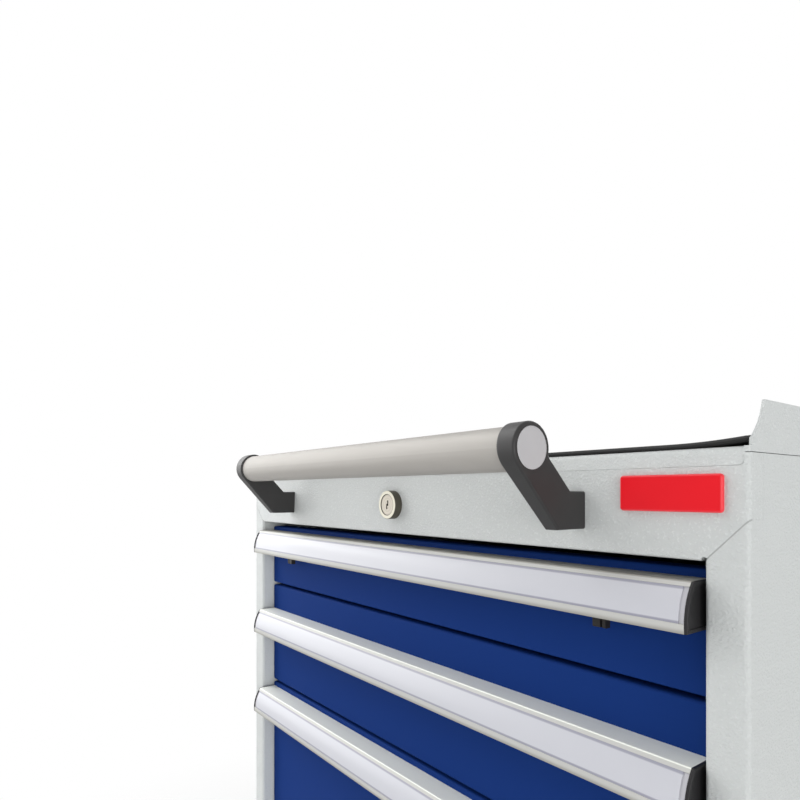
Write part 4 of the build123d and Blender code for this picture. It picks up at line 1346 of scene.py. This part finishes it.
@dataclass
class Castors(Assembly):
    """The four castors: plates, forks, axles, wheels, pedals and their bolts."""

    bolt_width: float = 13 * MM
    bolt_height: float = 6.5 * MM
    bolt_inset: float = 10.5 * MM
    plate_width: float = 85 * MM
    plate_length: float = 105 * MM
    nut_width: float = 16 * MM
    nut_height: float = 5 * MM
    tread_length: float = 22 * MM
    tread_ribs: int = 5
    rib_height: float = 1.6 * MM
    rib_width: float = 2 * MM
    rib_margin: float = 4 * MM
    rib_edge: float = 0.4 * MM
    tread_rise: float = 2.5 * MM
    least_plate: float = 0.5 * MM

    def plate_bolts(self) -> None:
        """Hang a hex bolt from each corner of the four plates."""
        plate_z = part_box("base_pan")[0].z - (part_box("swivel_castor_heads")[1].z - self.plate_underside())
        joints = [name for side in SIDES for name in (f"castor_{side}_swivel", f"rear_wheel_{side}_spin")]
        reach_x = self.plate_width / 2 - self.bolt_inset
        reach_y = self.plate_length / 2 - self.bolt_inset
        corners = [(x, y) for x in (-reach_x, reach_x) for y in (-reach_y, reach_y)]
        middles = [JOINT_PLACES[joint] for joint in joints]
        places = [(middle.x + x, middle.y + y, plate_z) for middle in middles for x, y in corners]
        mesh = self.patterns.hex_heads.run(
            "plate_bolts", points_mesh("bolt_places", places), ZINC,
            width=self.bolt_width, height=self.bolt_height, axis=(0.0, 0.0, -1.0),
        )
        add_piece("castor_plate_bolts", mesh, ZINC, "cabinet")

    def plate_underside(self) -> float:
        """The height of the plates' underside, read off the swivel heads' own corners.

        Returns:
            The height.
        """
        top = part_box("swivel_castor_heads")[1].z
        heights = {round(v.co.z, 5) for v in frame["nodes"]["swivel_castor_heads"].data.vertices}
        return max(z for z in heights if z < top - self.least_plate)

    def axle_nuts(self) -> None:
        """Set a nut on both ends of every axle."""
        ends = {f"castor_{side}": [f"front_wheel_{side}_spin"] for side in SIDES}
        ends["cabinet"] = [f"rear_wheel_{side}_spin" for side in SIDES]
        low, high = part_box("swivel_axle_left")
        half = (high.x - low.x) / 2
        for body, joints in ends.items():
            meshes = []
            for way in (-1.0, 1.0):
                places = [JOINT_PLACES[joint] + Vector((way * half, 0.0, 0.0)) for joint in joints]
                meshes.append(self.patterns.hex_heads.run(
                    "axle_nuts", points_mesh("nut_places", places), ZINC,
                    width=self.nut_width, height=self.nut_height, axis=(way, 0.0, 0.0),
                ))
            name = f"{body}_axle_nuts" if body != "cabinet" else "fixed_axle_nuts"
            add_piece(name, joined_mesh(name, *meshes), ZINC, body)

    def pedal_ribs(self, side: str) -> None:
        """Raise grip ribs across a brake pedal's tread.

        Args:
            side: left or right.
        """
        low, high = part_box(f"brake_pedal_{side}")
        pivot = JOINT_PLACES[f"brake_{side}_press"]
        step = (self.tread_length - 3 * self.rib_width) / (self.tread_ribs - 1)
        base = pivot.z + self.tread_rise
        start = low.y + self.rib_width
        lowest = Vector((low.x + self.rib_margin, start, base - self.rib_height))
        highest = Vector((high.x - self.rib_margin, start + self.rib_width, base + self.rib_height))
        rib = bar("pedal_rib", lowest, highest, self.rib_edge)
        mesh = self.patterns.repeat.run(
            "pedal_ribs", rib, PEDAL_PLASTIC,
            count=self.tread_ribs, step=(0.0, step, 0.0), turn=(0.0, 0.0, 0.0),
        )
        add_piece(f"brake_pedal_ribs_{side}", mesh, PEDAL_PLASTIC, f"brake_{side}")

    def build(self) -> None:
        """Make the bolts, nuts, wheels and pedal ribs."""
        self.plate_bolts()
        self.axle_nuts()
        for side in SIDES:
            self.pedal_ribs(side)
            Wheel(self.patterns, f"front_wheel_{side}", f"front_roller_{side}").build()
            Wheel(self.patterns, f"rear_wheel_{side}", f"rear_roller_{side}").build()

    def dress(self) -> None:
        """Plate the steel and colour the pedals."""
        dress(ZINC, "swivel_castor_heads", "fixed_castor_forks", "fixed_axles", "cabinet_slides")
        for side in SIDES:
            dress(ZINC, f"swivel_fork_{side}", f"swivel_axle_{side}")
            dress(PEDAL_PLASTIC, f"brake_pedal_{side}")


@dataclass(frozen=True)
class Lamp:
    """One soft area lamp that faces a point."""

    name: str
    place: Corner
    target: Corner
    size: float
    power: float

    def hang(self) -> None:
        """Add the lamp to the scene."""
        data = bpy.data.lights.new(self.name, "AREA")
        data.shape = "DISK"
        data.size = self.size
        data.energy = self.power
        lamp = bpy.data.objects.new(self.name, data)
        lamp.location = self.place
        lamp.rotation_euler = (Vector(self.target) - Vector(self.place)).to_track_quat("-Z", "Y").to_euler()
        bpy.context.scene.collection.objects.link(lamp)
        log.info("lamp %s: %.0f W", self.name, self.power)


@dataclass
class Studio:
    """Pale floor, white surroundings, soft lamps and the camera."""

    lamps: tuple[Lamp, ...] = (
        Lamp("window_left", (-0.8, -1.2, 2.6), FRONT_TOP, 1.4, 10.0),
        Lamp("high_left", (-2.4, -0.9, 2.6), FRONT_TOP, 2.6, 54.0),
        Lamp("near_left", (-1.2, -1.0, 1.1), FRONT_TOP, 1.0, 7.5),
        Lamp("right_front", (1.4, -1.6, 0.9), FRONT_TOP, 1.4, 8.0),
        Lamp("right", (2.6, -0.9, 0.9), FRONT_TOP, 1.2, 24.0),
        Lamp("back", (-1.0, 3.0, 2.2), (0.0, 0.3, 0.6), 2.0, 55.0),
    )
    sky: Colour = (0.3, 0.305, 0.31)
    floor_colour: Colour = (0.8, 0.8, 0.795)
    floor_size: float = 16.0
    speck_size: float = 4 * MM
    speck_share: float = 0.02
    near_floor: float = 0.9
    far_floor: float = 1.7
    eye: Corner = (0.4416, -0.5953, 0.9358)
    heading: Corner = (-0.798, 0.6025, 0.0)
    lens: float = 27.18
    shift: float = 0.116
    nearest: float = 10 * MM

    @staticmethod
    def background_ray(sheet: Sheet) -> Value:
        """The rays that should see a white background: camera, glossy and transmission rays.

        Args:
            sheet: The sheet of the world or of a material.

        Returns:
            1 for such rays, else 0.
        """
        path = sheet.add("ShaderNodeLightPath").outputs
        seen = Value(sheet, path["Is Camera Ray"]) + Value(sheet, path["Is Glossy Ray"])
        return (seen + Value(sheet, path["Is Transmission Ray"])).math("MINIMUM", 1.0)

    def surround(self) -> None:
        """Light the scene with an even grey sky that shows white."""
        world = bpy.data.worlds.new("studio")
        world.use_nodes = True
        sheet = Sheet(world.node_tree)
        lit = sheet.add("ShaderNodeBackground", None, {"Color": (*self.sky, 1.0)}).outputs[0]
        white = sheet.add("ShaderNodeBackground", None, {"Color": WHITE}).outputs[0]
        factor = self.background_ray(sheet)
        mixed = sheet.add("ShaderNodeMixShader", None, {0: factor, 1: lit, 2: white}).outputs[0]
        sheet.add("ShaderNodeOutputWorld", None, {"Surface": mixed})
        bpy.context.scene.world = world

    def floor(self) -> None:
        """Lay the pale floor, white to the camera away from the object."""
        half = self.floor_size / 2
        corners = [(-half, -half, 0.0), (half, -half, 0.0), (half, half, 0.0), (-half, half, 0.0)]
        floor = bpy.data.objects.new("floor", mesh_from("floor", corners, [(0, 1, 2, 3)]))
        bpy.context.scene.collection.objects.link(floor)
        material = bpy.data.materials.new("pale_floor")
        material.use_nodes = True
        sheet = Sheet(material.node_tree)
        x, y, _ = sheet.axes()
        away = (x * x + y * y).math("SQRT").eased(self.near_floor, self.far_floor)
        speck = sheet.noise(self.speck_size)
        colour = sheet.varied(speck, self.floor_colour, self.speck_share)
        matt = sheet.add("ShaderNodeBsdfDiffuse", None, {"Color": colour}).outputs[0]
        white = sheet.add("ShaderNodeEmission", None, {"Color": WHITE}).outputs[0]
        factor = away * self.background_ray(sheet)
        mixed = sheet.add("ShaderNodeMixShader", None, {0: factor, 1: matt, 2: white}).outputs[0]
        sheet.add("ShaderNodeOutputMaterial", None, {"Surface": mixed})
        floor.data.materials.append(material)

    def camera(self) -> None:
        """Set the camera at the photograph's viewpoint."""
        data = bpy.data.cameras.new("camera")
        data.lens = self.lens
        data.shift_y = self.shift
        data.clip_start = self.nearest
        camera = bpy.data.objects.new("camera", data)
        camera.location = self.eye
        camera.rotation_euler = Vector(self.heading).to_track_quat("-Z", "Y").to_euler()
        bpy.context.scene.collection.objects.link(camera)
        bpy.context.scene.camera = camera

    def build(self) -> None:
        """Set up everything that isn't the object."""
        bpy.context.scene.view_settings.view_transform = "Standard"
        self.surround()
        self.floor()
        for lamp in self.lamps:
            lamp.hang()
        self.camera()


def main() -> None:
    """Build and dress every sub-assembly, then the studio."""
    logging.basicConfig(level=logging.INFO, format="%(name)s: %(message)s")
    patterns = Patterns.make()
    assemblies = [kind(patterns) for kind in (Shell, DeckMat, PushHandle, LockAndBadge, Castors)]
    assemblies += [Drawer(patterns, number) for number in DRAWERS]
    for assembly in assemblies:
        assembly.build()
    for assembly in assemblies:
        assembly.dress()
    Studio().build()


if __name__ == "__main__":
    main()
